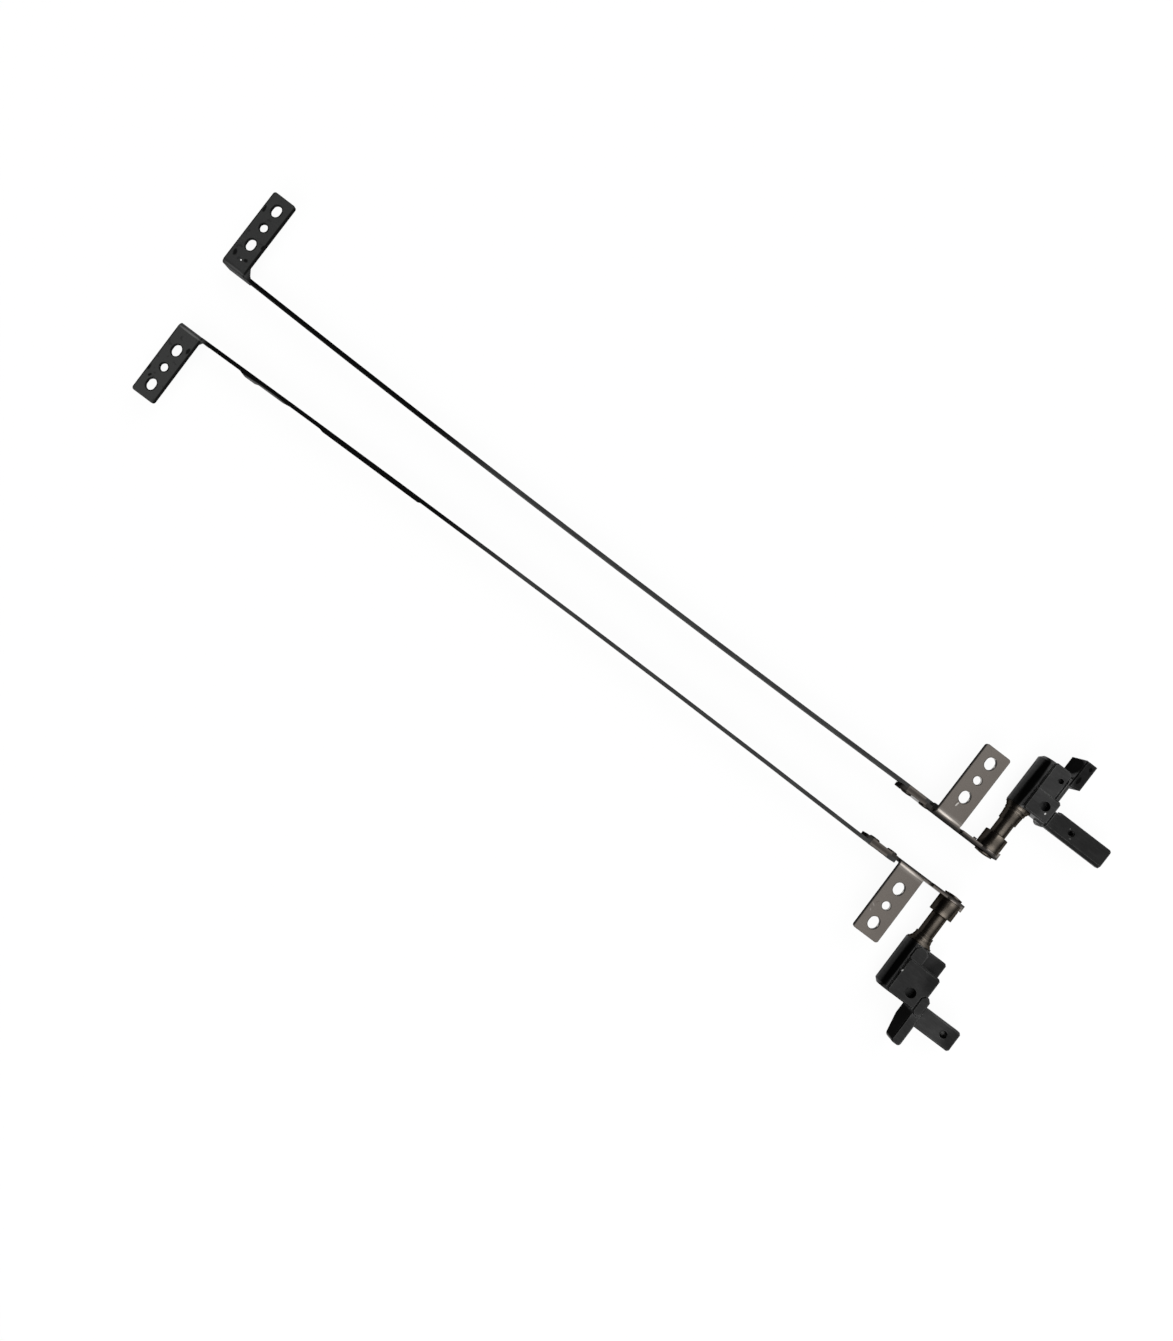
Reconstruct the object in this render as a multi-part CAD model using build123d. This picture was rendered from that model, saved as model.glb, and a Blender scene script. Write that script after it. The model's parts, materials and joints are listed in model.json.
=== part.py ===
from build123d import *
import os

os.makedirs("parts", exist_ok=True)

# Millimetres. Each hinge is drawn with its strip along X, its shaft along +Y from the
# outer face of the bracket, and the table at Z = 0. The left hinge is then mirrored.

# Sheet metal of both arms
STRIP_H = 6.4
RAIL_H = 4.3
BRACKET_T = 0.9
RAIL_T = 0.9
BEND_IN = 0.8
RAIL_BEND_IN = 0.3
TAB_W = 7.15
RAIL_TAB_W = 6.4
TAB_CORNER = 0.7
TAB_X = -12.4
RIGHT_RAIL_END = -227.4
LEFT_RAIL_END = -227.0
RIGHT_REACH = 20.9
LEFT_REACH = 19.7
RAIL_BOW = 0.85
WEB = 1.9
NOTCH = 1.1
LEFT_NOTCH = 2.6
STRIP_RISE = 0.45

# Slots and middle hole of a tab, counted from its free end
SLOT_W = 2.6
SLOT_L = 3.2
RAIL_SLOT_W = 2.4
RAIL_SLOT_L = 3.0
SLOT_PITCH = 10.0
SLOT_IN = 3.6
PILOT_D = 2.1

# Lip along the upper edge of the left rail: its start, runs and widths
LIP_START = -222.0
LIP_LEAD_L = 9.7
LIP_RAMP = 2.0
LIP_BUMP_L = 2.7
LIP_SHELF_L = 8.1
LIP_THIN_L = 10.9
LIP_WIDE_L = 29.1
LIP_LOW = 0.1
LIP_MID = 0.38
LIP_HIGH = 0.68

# Lap joint between rail and bracket
LAP_START = -26.1
LAP_END = -17.05
TONGUE_CORNER = 1.0
HEM_START = -24.7
HEM_END = -19.4
HEM_T = 0.35
RIVET_1 = -23.6
RIVET_2 = -18.4
RIVET_R = 0.75
RIVET_RIM = 0.5
RIVET_HEAD_H = 0.3
STUD_SIDES = 12

# Shaft and what sits on it
AXIS_Z = 3.9
SHAFT_R = 2.0
EYE_RIM = 1.2
TAIL_STEP = 0.4
TAIL_RIM = 0.7
TAIL_HEAD_H = 0.5
COLLAR_T = 0.97
COLLAR_L = 4.2
COLLAR_SLIT = 0.4
LUG_T = 0.7
LUG_H = 2.4
LUG_OUT = 0.9
PIP_R = 0.45
PIP_OUT = 0.6
PIP_OFF = 0.5

# Clearances
RUN_GAP = 0.04
KEY_GAP = 0.05
END_GAP = 0.15
RING_GAP = 0.2

# Housing barrel and its inside
MOUTH_Y = 13.7
BACK_Y = 27.1
BARREL_WALL = 0.85
BACK_BEVEL = 0.85
BACK_WALL = 1.1
WASHER_T = 0.4
WASHER_IN = 0.15
SPIGOT_L = 1.3
RIGHT_CONE = 4.2
LEFT_CONE = 2.3
SLEEVE_T = 0.25
SLEEVE_RIM = 0.8
CLIP_COUNT = 2
CLIP_T = 0.46
CLIP_L = 4.2
CLIP_GAP = 1.2
KEY_W = 1.0
KEY_OUT = 0.35
RING_T = 0.6
RING_BACK = 0.5
RING_MOUTH = 2.2
TIP_STEP = 0.4

# Housing heights, up from the table, and roundings of the castings
FACE_Z = 7.8
LEG_TOP = 5.5
LEG_T = 2.2
EDGE = 0.3
CORNER = 0.5
VALLEY_D = 0.25
PIN_DEPTH = 2.2
DOT_DEPTH = 1.6
SCREW_DEPTH = 1.8

# Right housing in plan: x from the shaft line, y from the bracket's outer face
R_BLOCK_X0 = -0.5
R_BLOCK_X1 = 4.5
R_BOSS_X1 = 6.4
R_BOSS_Y1 = 19.9
R_BOSS_UP = 0.15
R_BOSS_LIFT = 0.6
R_VALLEY_W = 1.3
R_LEG_LEAD = 0.4
R_LEG_Y1 = 18.5
R_LEG_X1 = 23.7
R_LEG_BEVEL = 0.7
R_LEG_ROOT = 1.5
R_CUT_L = 2.2
R_CUT_W = 0.6
R_TRENCH_W = 0.7
R_TRENCH_D = 0.8
R_KNOB_X = 7.0
R_KNOB_R = 1.2
R_RIB_X1 = 5.65
R_RIB_Y1 = 26.0
R_RIB_DROP = 0.4
R_POST_LEAN = 0.6
R_POST_X1 = 8.0
R_POST_Y0 = 24.1
R_POST_Y1 = 31.8
R_POST_SKEW = 0.8
R_PIN_X = 3.6
R_PIN_Y = 17.0
R_PIN_R = 1.2
R_DOT_X = 3.0
R_DOT_Y = 24.0
R_DOT_R = 0.65
R_SCREW_X = 13.4
R_SCREW_Y = 16.0
R_SCREW_R = 0.8

# Left housing in plan
L_BLOCK_X0 = -0.85
L_BLOCK_X1 = 8.3
L_BLOCK_Y0 = 17.5
L_BLOCK_IN = 0.1
L_VALLEY_W = 1.0
L_VALLEY_IN = 0.2
L_HUMP_X0 = -1.05
L_HUMP_X1 = 2.65
L_HUMP_DROP = 0.35
L_HUMP_CORNER = 1.1
L_SHELF_X1 = 8.5
L_SHELF_LOW = 1.6
L_SHELF_UP = 0.7
L_PAD_X0 = 6.85
L_PAD_X1 = 9.35
L_PAD_Y0 = 22.6
L_PAD_Y1 = 27.9
L_PAD_UP = 0.35
L_LEG_X1 = 20.75
L_LEG_Y0 = 24.8
L_LEG_Y1 = 30.3
L_RIB_X0 = 7.1
L_RIB_W = 2.6
L_RIB_Y1 = 36.0
L_RIB_KNEE = 30.5
L_RIB_RISE = 2.8
L_RIB_CORNER = 0.8
L_PIN_X = 4.2
L_PIN_Y = 24.1
L_PIN_R = 1.3
L_SCREW_X = 17.3
L_SCREW_Y = 27.5
L_SCREW_R = 0.95

# How the pair lies
LEFT_SHIFT_X = 0.8
LEFT_SHIFT_Y = -13.35
LEFT_YAW = 0.55

# Derived sizes
EYE_R = SHAFT_R + EYE_RIM
TAIL_R = SHAFT_R - TAIL_STEP
TAIL_FLAT = 1.5 * TAIL_R
TAIL_HEAD_R = TAIL_R + TAIL_RIM
COLLAR_R = SHAFT_R + COLLAR_T
RUN_R = SHAFT_R + RUN_GAP
BORE_R = RUN_R + CLIP_T
BARREL_R = BORE_R + BARREL_WALL
WASHER_R = BARREL_R - WASHER_IN
RING_R = BORE_R - RING_GAP
TIP_R = SHAFT_R - TIP_STEP
FLOOR_Y = BACK_Y - BACK_WALL
SHAFT_END = FLOOR_Y - END_GAP
RING_Y = SHAFT_END - RING_T - RING_BACK
CLIP_START = MOUTH_Y + SPIGOT_L
CLIP_STEP = CLIP_L + END_GAP
FLANGE_Y = MOUTH_Y - WASHER_T
COLLAR_END = BRACKET_T + COLLAR_L
LAP_T = BRACKET_T + RAIL_T
LIP_BUMP = LIP_START + LIP_LEAD_L + LIP_RAMP
LIP_BUMP_END = LIP_BUMP + LIP_BUMP_L
LIP_SHELF_END = LIP_BUMP_END + LIP_SHELF_L
LIP_THIN_END = LIP_SHELF_END + LIP_THIN_L
LIP_END = LIP_THIN_END + LIP_WIDE_L
RAIL_LOW = STRIP_H - RAIL_H
RIVET_Z = STRIP_H - RAIL_H / 2
BARREL_LOW = AXIS_Z - BARREL_R
LEG_LOW = LEG_TOP - LEG_T


def block(x0, x1, y0, y1, z0, z1):
    """Straight-sided solid between two corners."""
    size = Box(x1 - x0, y1 - y0, z1 - z0)
    return Pos((x0 + x1) / 2, (y0 + y1) / 2, (z0 + z1) / 2) * size


def upright(outline, z0, z1):
    """Plan outline pulled up from z0 to z1."""
    return extrude(Pos(0, 0, z0) * outline, amount=z1 - z0)


def plan(points, corner=0.0):
    """Closed plan outline, all corners cut off alike."""
    face = make_face(Polyline(*points, close=True))
    if corner > 0:
        face = chamfer(face.vertices(), corner)
    return face


def eased(lump, edge=EDGE):
    """Cast lump with its upper rim bevelled."""
    return chamfer(lump.edges().group_by(Axis.Z)[-1], edge)


def cast(points, corner, z0, z1):
    """Cast lump: plan outline without sharp corners, its upper rim bevelled."""
    return eased(upright(plan(points, corner), z0, z1))


def rect(x0, x1, y0, y1):
    """Corner points of a plan rectangle."""
    return [(x0, y0), (x1, y0), (x1, y1), (x0, y1)]


def turned(points):
    """Turned solid about the shaft line; points are (radius, y)."""
    face = make_face(Polyline(*points, close=True))
    return Pos(0, 0, AXIS_Z) * revolve(face, Axis.Y)


def tube(r0, r1, y0, y1):
    """Plain ring about the shaft line."""
    return turned([(r0, y0), (r1, y0), (r1, y1), (r0, y1)])


def across(outline, y0, y1):
    """Outline drawn in X and Z round the shaft line, pulled from y0 to y1."""
    face = Pos(0, y0, AXIS_Z) * (Plane.XZ * outline)
    return extrude(face, amount=y1 - y0, dir=(0, 1, 0))


def well(x, y, radius, z_top, depth):
    """Round blind hole cut down from z_top."""
    return Pos(x, y, z_top - depth / 2) * Cylinder(radius, depth)


def folded_tab(x_mid, width, y_face, sheet, inner, reach, slot):
    """Tab folded over from the top of a strip, with slots and middle hole."""
    outer = inner + sheet
    top = STRIP_H
    low = top - outer
    foot = low - sheet
    end = y_face + reach
    centre = (y_face + outer, low)
    lines = [
        Line((y_face, foot), (y_face, low)),
        CenterArc(centre, outer, 90, 90),
        Line((centre[0], top), (end, top)),
        Line((end, top), (end, top - sheet)),
        Line((end, top - sheet), (centre[0], top - sheet)),
        CenterArc(centre, inner, 90, 90),
        Line((y_face + sheet, low), (y_face + sheet, foot)),
        Line((y_face + sheet, foot), (y_face, foot)),
    ]
    profile = Plane.YZ * make_face(Curve() + lines)
    tab = extrude(Pos(x_mid - width / 2, 0, 0) * profile, amount=width)
    corners = tab.edges().filter_by(Axis.Z).group_by(Axis.Y)[-1]
    tab = fillet(corners, TAB_CORNER)
    far = end - SLOT_IN
    for y in (far, far - SLOT_PITCH):
        opening = Pos(x_mid, y) * Rot(0, 0, 90) * slot
        tab -= upright(opening, top - 2 * sheet, top + sheet)
    tab -= well(x_mid, far - SLOT_PITCH / 2, PILOT_D / 2, top + sheet, 3 * sheet)
    return tab


def bow_at(x, x0, x1):
    """How far a rail that is straight at x0 and x1 stands out at x."""
    t = (x - x0) / (x1 - x0)
    return 4 * RAIL_BOW * t * (1 - t)


def bowed(x0, x1, x2, y0, y1):
    """Plan outline of a strip bowed to the outside from x0 to x1, straight to x2."""
    mid = (x0 + x1) / 2
    edges = [
        ThreePointArc((x0, y0), (mid, y0 - RAIL_BOW), (x1, y0)),
        Line((x1, y0), (x2, y0)),
        Line((x2, y0), (x2, y1)),
        Line((x2, y1), (x1, y1)),
        ThreePointArc((x1, y1), (mid, y1 - RAIL_BOW), (x0, y1)),
        Line((x0, y1), (x0, y0)),
    ]
    return make_face(Curve() + edges)


def rail_lip(x0, x1, y_in):
    """Plan outline of the lip along the upper edge, which follows the bow of the rail."""
    steps = [
        (LIP_START, -LIP_LOW),
        (LIP_START + LIP_RAMP, LIP_LOW),
        (LIP_BUMP - LIP_RAMP, LIP_LOW),
        (LIP_BUMP, LIP_HIGH),
        (LIP_BUMP_END, LIP_HIGH),
        (LIP_BUMP_END + LIP_RAMP / 2, LIP_MID),
        (LIP_SHELF_END, LIP_MID),
        (LIP_SHELF_END + LIP_RAMP, LIP_LOW),
        (LIP_THIN_END, LIP_LOW),
        (LIP_THIN_END + LIP_RAMP / 2, LIP_MID),
        (LIP_END, LIP_MID),
        (LIP_END + LIP_RAMP / 2, -LIP_LOW),
    ]
    outer = [(x, y_in + out - bow_at(x, x0, x1)) for x, out in steps]
    inner = [(x, y - out - RAIL_T / 2) for (x, out), (x, y) in zip(steps, outer)]
    return plan(outer + inner[::-1])


def make_rail(tab_x, reach, lipped):
    """Long panel rail with its folded end tab, which stands on the table."""
    y0 = BRACKET_T
    y1 = LAP_T
    left = tab_x - RAIL_TAB_W / 2
    root = tab_x + RAIL_TAB_W / 2
    bow_end = LAP_START - RAIL_T / 2
    fold = STRIP_H - RAIL_BEND_IN - RAIL_T
    slot = SlotOverall(RAIL_SLOT_L, RAIL_SLOT_W)
    rail = upright(bowed(root, bow_end, LAP_END, y0, y1), RAIL_LOW, STRIP_H)
    rail += block(left, root, y0, y1, 0, fold)
    rail += folded_tab(tab_x, RAIL_TAB_W, y0, RAIL_T, RAIL_BEND_IN, reach, slot)
    # small web in the corner between tab and strip
    mid = (y0 + y1) / 2
    web = WEB / 2 if lipped else WEB
    corner = [(root, mid), (root + web, mid), (root + web / 2, y1 + web / 4), (root, y1 + web)]
    rail += upright(plan(corner), STRIP_H - RAIL_T, STRIP_H)
    if lipped:
        lip = rail_lip(root, bow_end, y1)
        rail += upright(lip, STRIP_H - RAIL_T, STRIP_H)
    # room for the hem of the bracket
    rail -= block(HEM_START, HEM_END, 0, 2 * LAP_T, STRIP_H - HEM_T, 2 * STRIP_H)
    for x in (RIVET_1, RIVET_2):
        rail -= rivet_hole(x)
    return rail


def stud(x, z, radius):
    """Outline of a small stud with enough sides to pass for round."""
    return Pos(x, z - AXIS_Z) * RegularPolygon(radius, STUD_SIDES)


def rivet_hole(x):
    """Hole through the lap for one rivet."""
    return across(stud(x, RIVET_Z, RIVET_R), -LAP_T, 2 * LAP_T)


def tail_outline():
    """Outline of the flatted tail of the shaft."""
    return Circle(TAIL_R) & Rectangle(TAIL_FLAT, 2 * TAIL_R)


def make_bracket(reach, notch, pip):
    """Plated bracket: hemmed lap tongue, strip, folded tab and round eye."""
    left = TAB_X - TAB_W / 2
    right = TAB_X + TAB_W / 2
    base = -AXIS_Z
    top = STRIP_H - AXIS_Z
    fold = top - BEND_IN - BRACKET_T
    slot = SlotOverall(SLOT_L, SLOT_W)
    outline = make_face(
        Polyline(
            (LAP_START, base),
            (0, base + STRIP_RISE),
            (0, top),
            (right + notch, top),
            (right + notch, fold),
            (left - NOTCH, fold),
            (left - NOTCH, top),
            (LAP_START, top),
            close=True,
        )
    )
    tongue = outline.vertices().group_by(Axis.X)[0]
    outline = fillet(tongue, TONGUE_CORNER)
    bracket = across(outline + Circle(EYE_R) - tail_outline(), 0, BRACKET_T)
    bracket += folded_tab(TAB_X, TAB_W, 0, BRACKET_T, BEND_IN, reach, slot)
    bracket += block(HEM_START, HEM_END, 0, LAP_T, STRIP_H - HEM_T, STRIP_H)
    # stop lug folded in beside the collar
    low = AXIS_Z - LUG_H / 2
    bracket += block(EYE_R - LUG_T, EYE_R, 0, BRACKET_T + LUG_OUT, low, low + LUG_H)
    if pip:
        button = stud(-EYE_R - PIP_OFF, AXIS_Z, PIP_R)
        bracket += across(button, 0, BRACKET_T + PIP_OUT)
    for x in (RIVET_1, RIVET_2):
        bracket -= rivet_hole(x)
    return bracket


def make_lap_rivets():
    """Two rivets through the lap, headed outside and flush inside."""
    rivets = []
    for x in (RIVET_1, RIVET_2):
        shank = across(stud(x, RIVET_Z, RIVET_R), 0, LAP_T)
        head = stud(x, RIVET_Z, RIVET_R + RIVET_RIM)
        rivets.append(shank + across(head, -RIVET_HEAD_H, 0))
    return rivets


def make_shaft():
    """Shaft with a flatted tail riveted over the eye and a thinner tip for the ring."""
    body = turned(
        [
            (0, BRACKET_T),
            (SHAFT_R, BRACKET_T),
            (SHAFT_R, RING_Y),
            (TIP_R, RING_Y),
            (TIP_R, SHAFT_END),
            (0, SHAFT_END),
        ]
    )
    body += across(tail_outline(), 0, BRACKET_T)
    return body + across(Circle(TAIL_HEAD_R), -TAIL_HEAD_H, 0)


def make_collar():
    """Split collar pressed on the shaft against the eye."""
    collar = tube(SHAFT_R, COLLAR_R, BRACKET_T, COLLAR_END)
    half = COLLAR_SLIT / 2
    edge = AXIS_Z + LUG_H / 2
    out = 2 * COLLAR_R
    flat = EYE_R - LUG_T - END_GAP
    lug_end = BRACKET_T + LUG_OUT + END_GAP
    collar -= block(0, out, lug_end, COLLAR_END, edge - half, edge + half)
    # clear the stop lug of the bracket
    return collar - block(flat, out, 0, lug_end, 0, 2 * AXIS_Z)


def make_mouth_bush(length):
    """Stepped sleeve at the mouth with a thicker rim, and a spigot in the bore."""
    front = FLANGE_Y - length
    return turned(
        [
            (RUN_R, front),
            (RUN_R + SLEEVE_T, front),
            (RUN_R + SLEEVE_T, FLANGE_Y - SLEEVE_RIM),
            (BORE_R, FLANGE_Y - SLEEVE_RIM),
            (BORE_R, CLIP_START),
            (RUN_R, CLIP_START),
        ]
    )


def make_clip(y):
    """One spring clip: open ring with a key that stops it turning."""
    ring = Circle(BORE_R) - Circle(RUN_R)
    ring -= Pos(0, BORE_R) * Rectangle(CLIP_GAP, BORE_R)
    low = BORE_R + KEY_OUT - KEY_GAP
    root = BORE_R - CLIP_T / 2
    key = Pos(0, -(low + root) / 2) * Rectangle(KEY_W - 2 * KEY_GAP, low - root)
    return across(ring + key, y, y + CLIP_L)


def make_ring():
    """Open retaining ring pressed on the tip of the shaft."""
    ring = Circle(RING_R) - Circle(TIP_R)
    ring -= Pos(RING_R, 0) * Rectangle(RING_R, RING_MOUTH)
    return across(ring, RING_Y, RING_Y + RING_T)


def barrel():
    """Cast barrel with an eased far end."""
    return turned(
        [
            (0, MOUTH_Y),
            (BARREL_R, MOUTH_Y),
            (BARREL_R, BACK_Y - BACK_BEVEL),
            (BARREL_R - BACK_BEVEL, BACK_Y),
            (0, BACK_Y),
        ]
    )


def hollow():
    """Bore and keyway that take the shaft, bush and clips."""
    space = tube(0, BORE_R, MOUTH_Y - WASHER_T, FLOOR_Y)
    low = AXIS_Z - BORE_R - KEY_OUT
    half = KEY_W / 2
    return space + block(-half, half, CLIP_START, RING_Y, low, AXIS_Z - RUN_R)


def valley(x1, width):
    """Shallow groove along the top of the barrel beside the block."""
    floor = AXIS_Z + BARREL_R - VALLEY_D
    return block(x1 - width, x1, MOUTH_Y - width, BACK_Y + width, floor, 2 * FACE_Z)


def right_leg():
    """Leg with a bevelled front edge, a rounded end and a trench at its root."""
    y0 = MOUTH_Y - R_LEG_LEAD
    x0 = R_BOSS_X1 - R_LEG_ROOT
    section = Polyline(
        (y0, LEG_LOW),
        (R_LEG_Y1, LEG_LOW),
        (R_LEG_Y1, LEG_TOP),
        (y0 + R_LEG_BEVEL, LEG_TOP),
        (y0, LEG_TOP - R_LEG_BEVEL),
        close=True,
    )
    profile = Plane.YZ * make_face(section)
    leg = extrude(Pos(x0, 0, 0) * profile, amount=R_LEG_X1 - x0)
    tip = leg.edges().filter_by(Axis.Z).group_by(Axis.X)[-1]
    leg = fillet(tip.sort_by(Axis.Y)[-1], R_LEG_BEVEL)
    cut_y = R_LEG_Y1 - R_CUT_W
    leg -= block(R_BOSS_X1, R_BOSS_X1 + R_CUT_L, cut_y, BACK_Y, 0, FACE_Z)
    trench = R_BOSS_X1 + R_TRENCH_W / 2
    floor = LEG_TOP - R_TRENCH_D
    return leg - block(trench, trench + R_TRENCH_W, 0, BACK_Y, floor, FACE_Z)


def right_post():
    """Far post that leans in to its top, on a thin rib along the block."""
    x0 = R_BLOCK_X1
    x1 = R_POST_X1
    y0 = R_POST_Y0
    y1 = R_POST_Y1
    base = -AXIS_Z
    head = FACE_Z - AXIS_Z
    front = plan([(x0, base), (x1, base), (x1, head), (x0 + R_POST_LEAN, head)])
    foot = plan([(x0, y0), (x1, y0 + R_POST_SKEW), (x1, y1), (x0, y1)])
    post = eased(across(front, y0, y1) & upright(foot, 0, FACE_Z))
    top = FACE_Z - R_RIB_DROP
    rib = block(x0 - CORNER, R_RIB_X1, R_BOSS_Y1 - CORNER, R_RIB_Y1, BARREL_LOW, top)
    slit_y = R_RIB_Y1 - R_TRENCH_W
    slit = block(x0, x0 + EDGE, R_BOSS_Y1, slit_y, top - R_TRENCH_D, FACE_Z)
    return post + (rib - slit)


def make_right_housing():
    """Cast housing whose leg stands beside the mouth."""
    boss_top = FACE_Z + R_BOSS_UP
    body = barrel() - valley(R_BLOCK_X0, R_VALLEY_W)
    main = rect(R_BLOCK_X0, R_BLOCK_X1, MOUTH_Y, BACK_Y)
    body += cast(main, CORNER, BARREL_LOW, FACE_Z)
    boss = rect(R_BLOCK_X0, R_BOSS_X1, MOUTH_Y, R_BOSS_Y1)
    body += cast(boss, CORNER, BARREL_LOW + R_BOSS_LIFT, boss_top)
    body += right_leg()
    knob = Pos(R_KNOB_X, MOUTH_Y + CORNER, LEG_LOW / 2 + CORNER)
    body += knob * Cylinder(R_KNOB_R, LEG_LOW - CORNER)
    body += right_post()
    body -= hollow()
    body -= well(R_PIN_X, R_PIN_Y, R_PIN_R, boss_top, PIN_DEPTH)
    body -= well(R_DOT_X, R_DOT_Y, R_DOT_R, FACE_Z, DOT_DEPTH)
    body -= well(R_SCREW_X, R_SCREW_Y, R_SCREW_R, LEG_TOP, SCREW_DEPTH)
    return body


def left_rib():
    """Far rib whose underside rises to its free end."""
    y0 = BACK_Y - R_TRENCH_W
    side = Polyline(
        (y0, 0),
        (L_RIB_KNEE, 0),
        (L_RIB_Y1, L_RIB_RISE),
        (L_RIB_Y1, FACE_Z),
        (y0, FACE_Z),
        close=True,
    )
    profile = Plane.YZ * make_face(side)
    rib = extrude(Pos(L_RIB_X0, 0, 0) * profile, amount=L_RIB_W)
    rib = fillet(rib.edges().filter_by(Axis.Z).group_by(Axis.Y)[-1], L_RIB_CORNER)
    return eased(rib)


def make_left_housing():
    """Cast housing whose leg stands at the far end."""
    body = barrel() - valley(L_BLOCK_X0 + L_VALLEY_IN, L_VALLEY_W)
    main = rect(L_BLOCK_X0, L_BLOCK_X1, L_BLOCK_Y0, BACK_Y - L_BLOCK_IN)
    body += cast(main, CORNER, BARREL_LOW + EDGE, FACE_Z)
    hump = rect(L_HUMP_X0, L_HUMP_X1, MOUTH_Y, L_BLOCK_Y0 + 2 * CORNER)
    body += cast(hump, L_HUMP_CORNER, AXIS_Z, FACE_Z - L_HUMP_DROP)
    shelf = rect(0, L_SHELF_X1, MOUTH_Y, L_BLOCK_Y0 + 2 * CORNER)
    body += cast(shelf, CORNER, L_SHELF_LOW, AXIS_Z + L_SHELF_UP)
    # raised pad at the root of the leg
    pad = rect(L_PAD_X0, L_PAD_X1, L_PAD_Y0, L_PAD_Y1)
    body += cast(pad, L_RIB_CORNER, LEG_LOW, FACE_Z + L_PAD_UP)
    leg = rect(L_PAD_X0 + CORNER, L_LEG_X1, L_LEG_Y0, L_LEG_Y1)
    body += cast(leg, CORNER, LEG_LOW, LEG_TOP)
    body += left_rib()
    body -= hollow()
    body -= well(L_PIN_X, L_PIN_Y, L_PIN_R, FACE_Z, PIN_DEPTH)
    body -= well(L_SCREW_X, L_SCREW_Y, L_SCREW_R, LEG_TOP, SCREW_DEPTH)
    return body


def make_hinge(side, tab_x, reach, notch, cone, handed, housing):
    """All pieces of one hinge, by node name; handed marks the right one's extras."""
    pieces = {
        "rail": make_rail(tab_x, reach, not handed),
        "bracket": make_bracket(reach, notch, handed),
        "lap_rivets": make_lap_rivets(),
        "shaft": make_shaft(),
        "collar": make_collar(),
        "mouth_bush": make_mouth_bush(cone),
        "thrust_washer": tube(BORE_R, WASHER_R, FLANGE_Y, MOUTH_Y),
        "housing": housing,
        "retaining_ring": make_ring(),
    }
    for i in range(CLIP_COUNT):
        y = CLIP_START + i * CLIP_STEP
        pieces["friction_clip_" + str(i + 1)] = make_clip(y)
    return {side + "_" + name: piece for name, piece in pieces.items()}


def solids_of(piece):
    """Solids of one piece or of a group of pieces."""
    items = piece if isinstance(piece, list) else [piece]
    return [solid for item in items for solid in item.solids()]


right = make_hinge(
    "right", RIGHT_RAIL_END, RIGHT_REACH, NOTCH, RIGHT_CONE, True, make_right_housing()
)
left = make_hinge(
    "left", LEFT_RAIL_END, LEFT_REACH, LEFT_NOTCH, LEFT_CONE, False, make_left_housing()
)

# Lay the pair out side by side, the left hinge mirrored and turned a little.
laid = {name: solids_of(piece) for name, piece in right.items()}
lay_left = Pos(LEFT_SHIFT_X, LEFT_SHIFT_Y, 0) * Rot(0, 0, LEFT_YAW)
for name, piece in left.items():
    laid[name] = [lay_left * s.mirror(Plane.XZ) for s in solids_of(piece)]

# Origin: on the table, under the middle of the pair.
extent = Compound([s for group in laid.values() for s in group]).bounding_box()
home = Pos(-extent.center().X, -extent.center().Y, -extent.min.Z)

for name, group in laid.items():
    placed = [home * s for s in group]
    shape = placed[0] if len(placed) == 1 else Compound(placed)
    export_step(shape, "parts/" + name + ".step")
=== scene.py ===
"""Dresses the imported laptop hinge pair: finishes, small formed details, light and camera.

Lengths are millimetres in a hinge's own frame unless a name says otherwise: x runs along
the strip towards the shaft, y along the shaft from the outer face of the bracket, and z
up from the table.
"""

from __future__ import annotations

import json
import logging
import math
from dataclasses import dataclass, replace
from enum import Enum
from typing import Iterable, Sequence, Union

import bmesh
import bpy
import numpy as np
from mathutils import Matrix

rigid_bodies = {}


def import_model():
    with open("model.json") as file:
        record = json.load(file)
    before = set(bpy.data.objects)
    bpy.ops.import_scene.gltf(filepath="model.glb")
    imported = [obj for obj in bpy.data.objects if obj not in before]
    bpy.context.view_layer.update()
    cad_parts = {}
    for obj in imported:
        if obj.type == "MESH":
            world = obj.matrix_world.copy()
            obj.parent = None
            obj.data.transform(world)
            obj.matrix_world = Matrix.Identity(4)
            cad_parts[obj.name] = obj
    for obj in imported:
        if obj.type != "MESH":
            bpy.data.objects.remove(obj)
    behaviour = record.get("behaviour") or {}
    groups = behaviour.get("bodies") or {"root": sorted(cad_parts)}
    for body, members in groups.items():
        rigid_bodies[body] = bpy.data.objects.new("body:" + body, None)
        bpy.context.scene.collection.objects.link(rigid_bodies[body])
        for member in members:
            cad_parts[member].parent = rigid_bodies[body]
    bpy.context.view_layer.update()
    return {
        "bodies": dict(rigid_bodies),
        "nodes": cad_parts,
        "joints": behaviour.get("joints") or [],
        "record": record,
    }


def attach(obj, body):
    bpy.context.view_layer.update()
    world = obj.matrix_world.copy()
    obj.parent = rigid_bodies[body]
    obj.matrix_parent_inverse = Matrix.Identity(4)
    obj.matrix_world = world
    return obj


LOG = logging.getLogger("hinge_pair")
MM = 0.001
AXIS_Z = 3.9
STRIP_H = 6.4
FLANGE_Y = 13.3
MOUTH_Y = 13.7
BACK_Y = 27.1
SLOT_PITCH = 10.0
BRACKET_TAB_X = -12.4

# Points along and round the worked-out surfaces
RIM_STEPS = 40
SECTION_STEPS = 12
TURN_STEPS = 72
RIVET_STEPS = 40
THREAD_STEPS = 48
RIDGE_STEPS = 10
BLOCK_STEPS = 32
BLOCK_ROWS = 17
FADE_LEAST = 0.02

# Octaves of noise, its middle value, and how sharp edges are found
LOW_DETAIL = 2.0
PLAIN_DETAIL = 3.0
RICH_DETAIL = 4.0
FULL_DETAIL = 5.0
NOISE_MIDDLE = 0.5
EDGE_SAMPLES = 6
EDGE_BAND = (0.01, 0.22)

# Distances in metres within which points are merged
PIECE_MERGE = 1e-7
SOLID_MERGE = 2e-6

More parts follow.
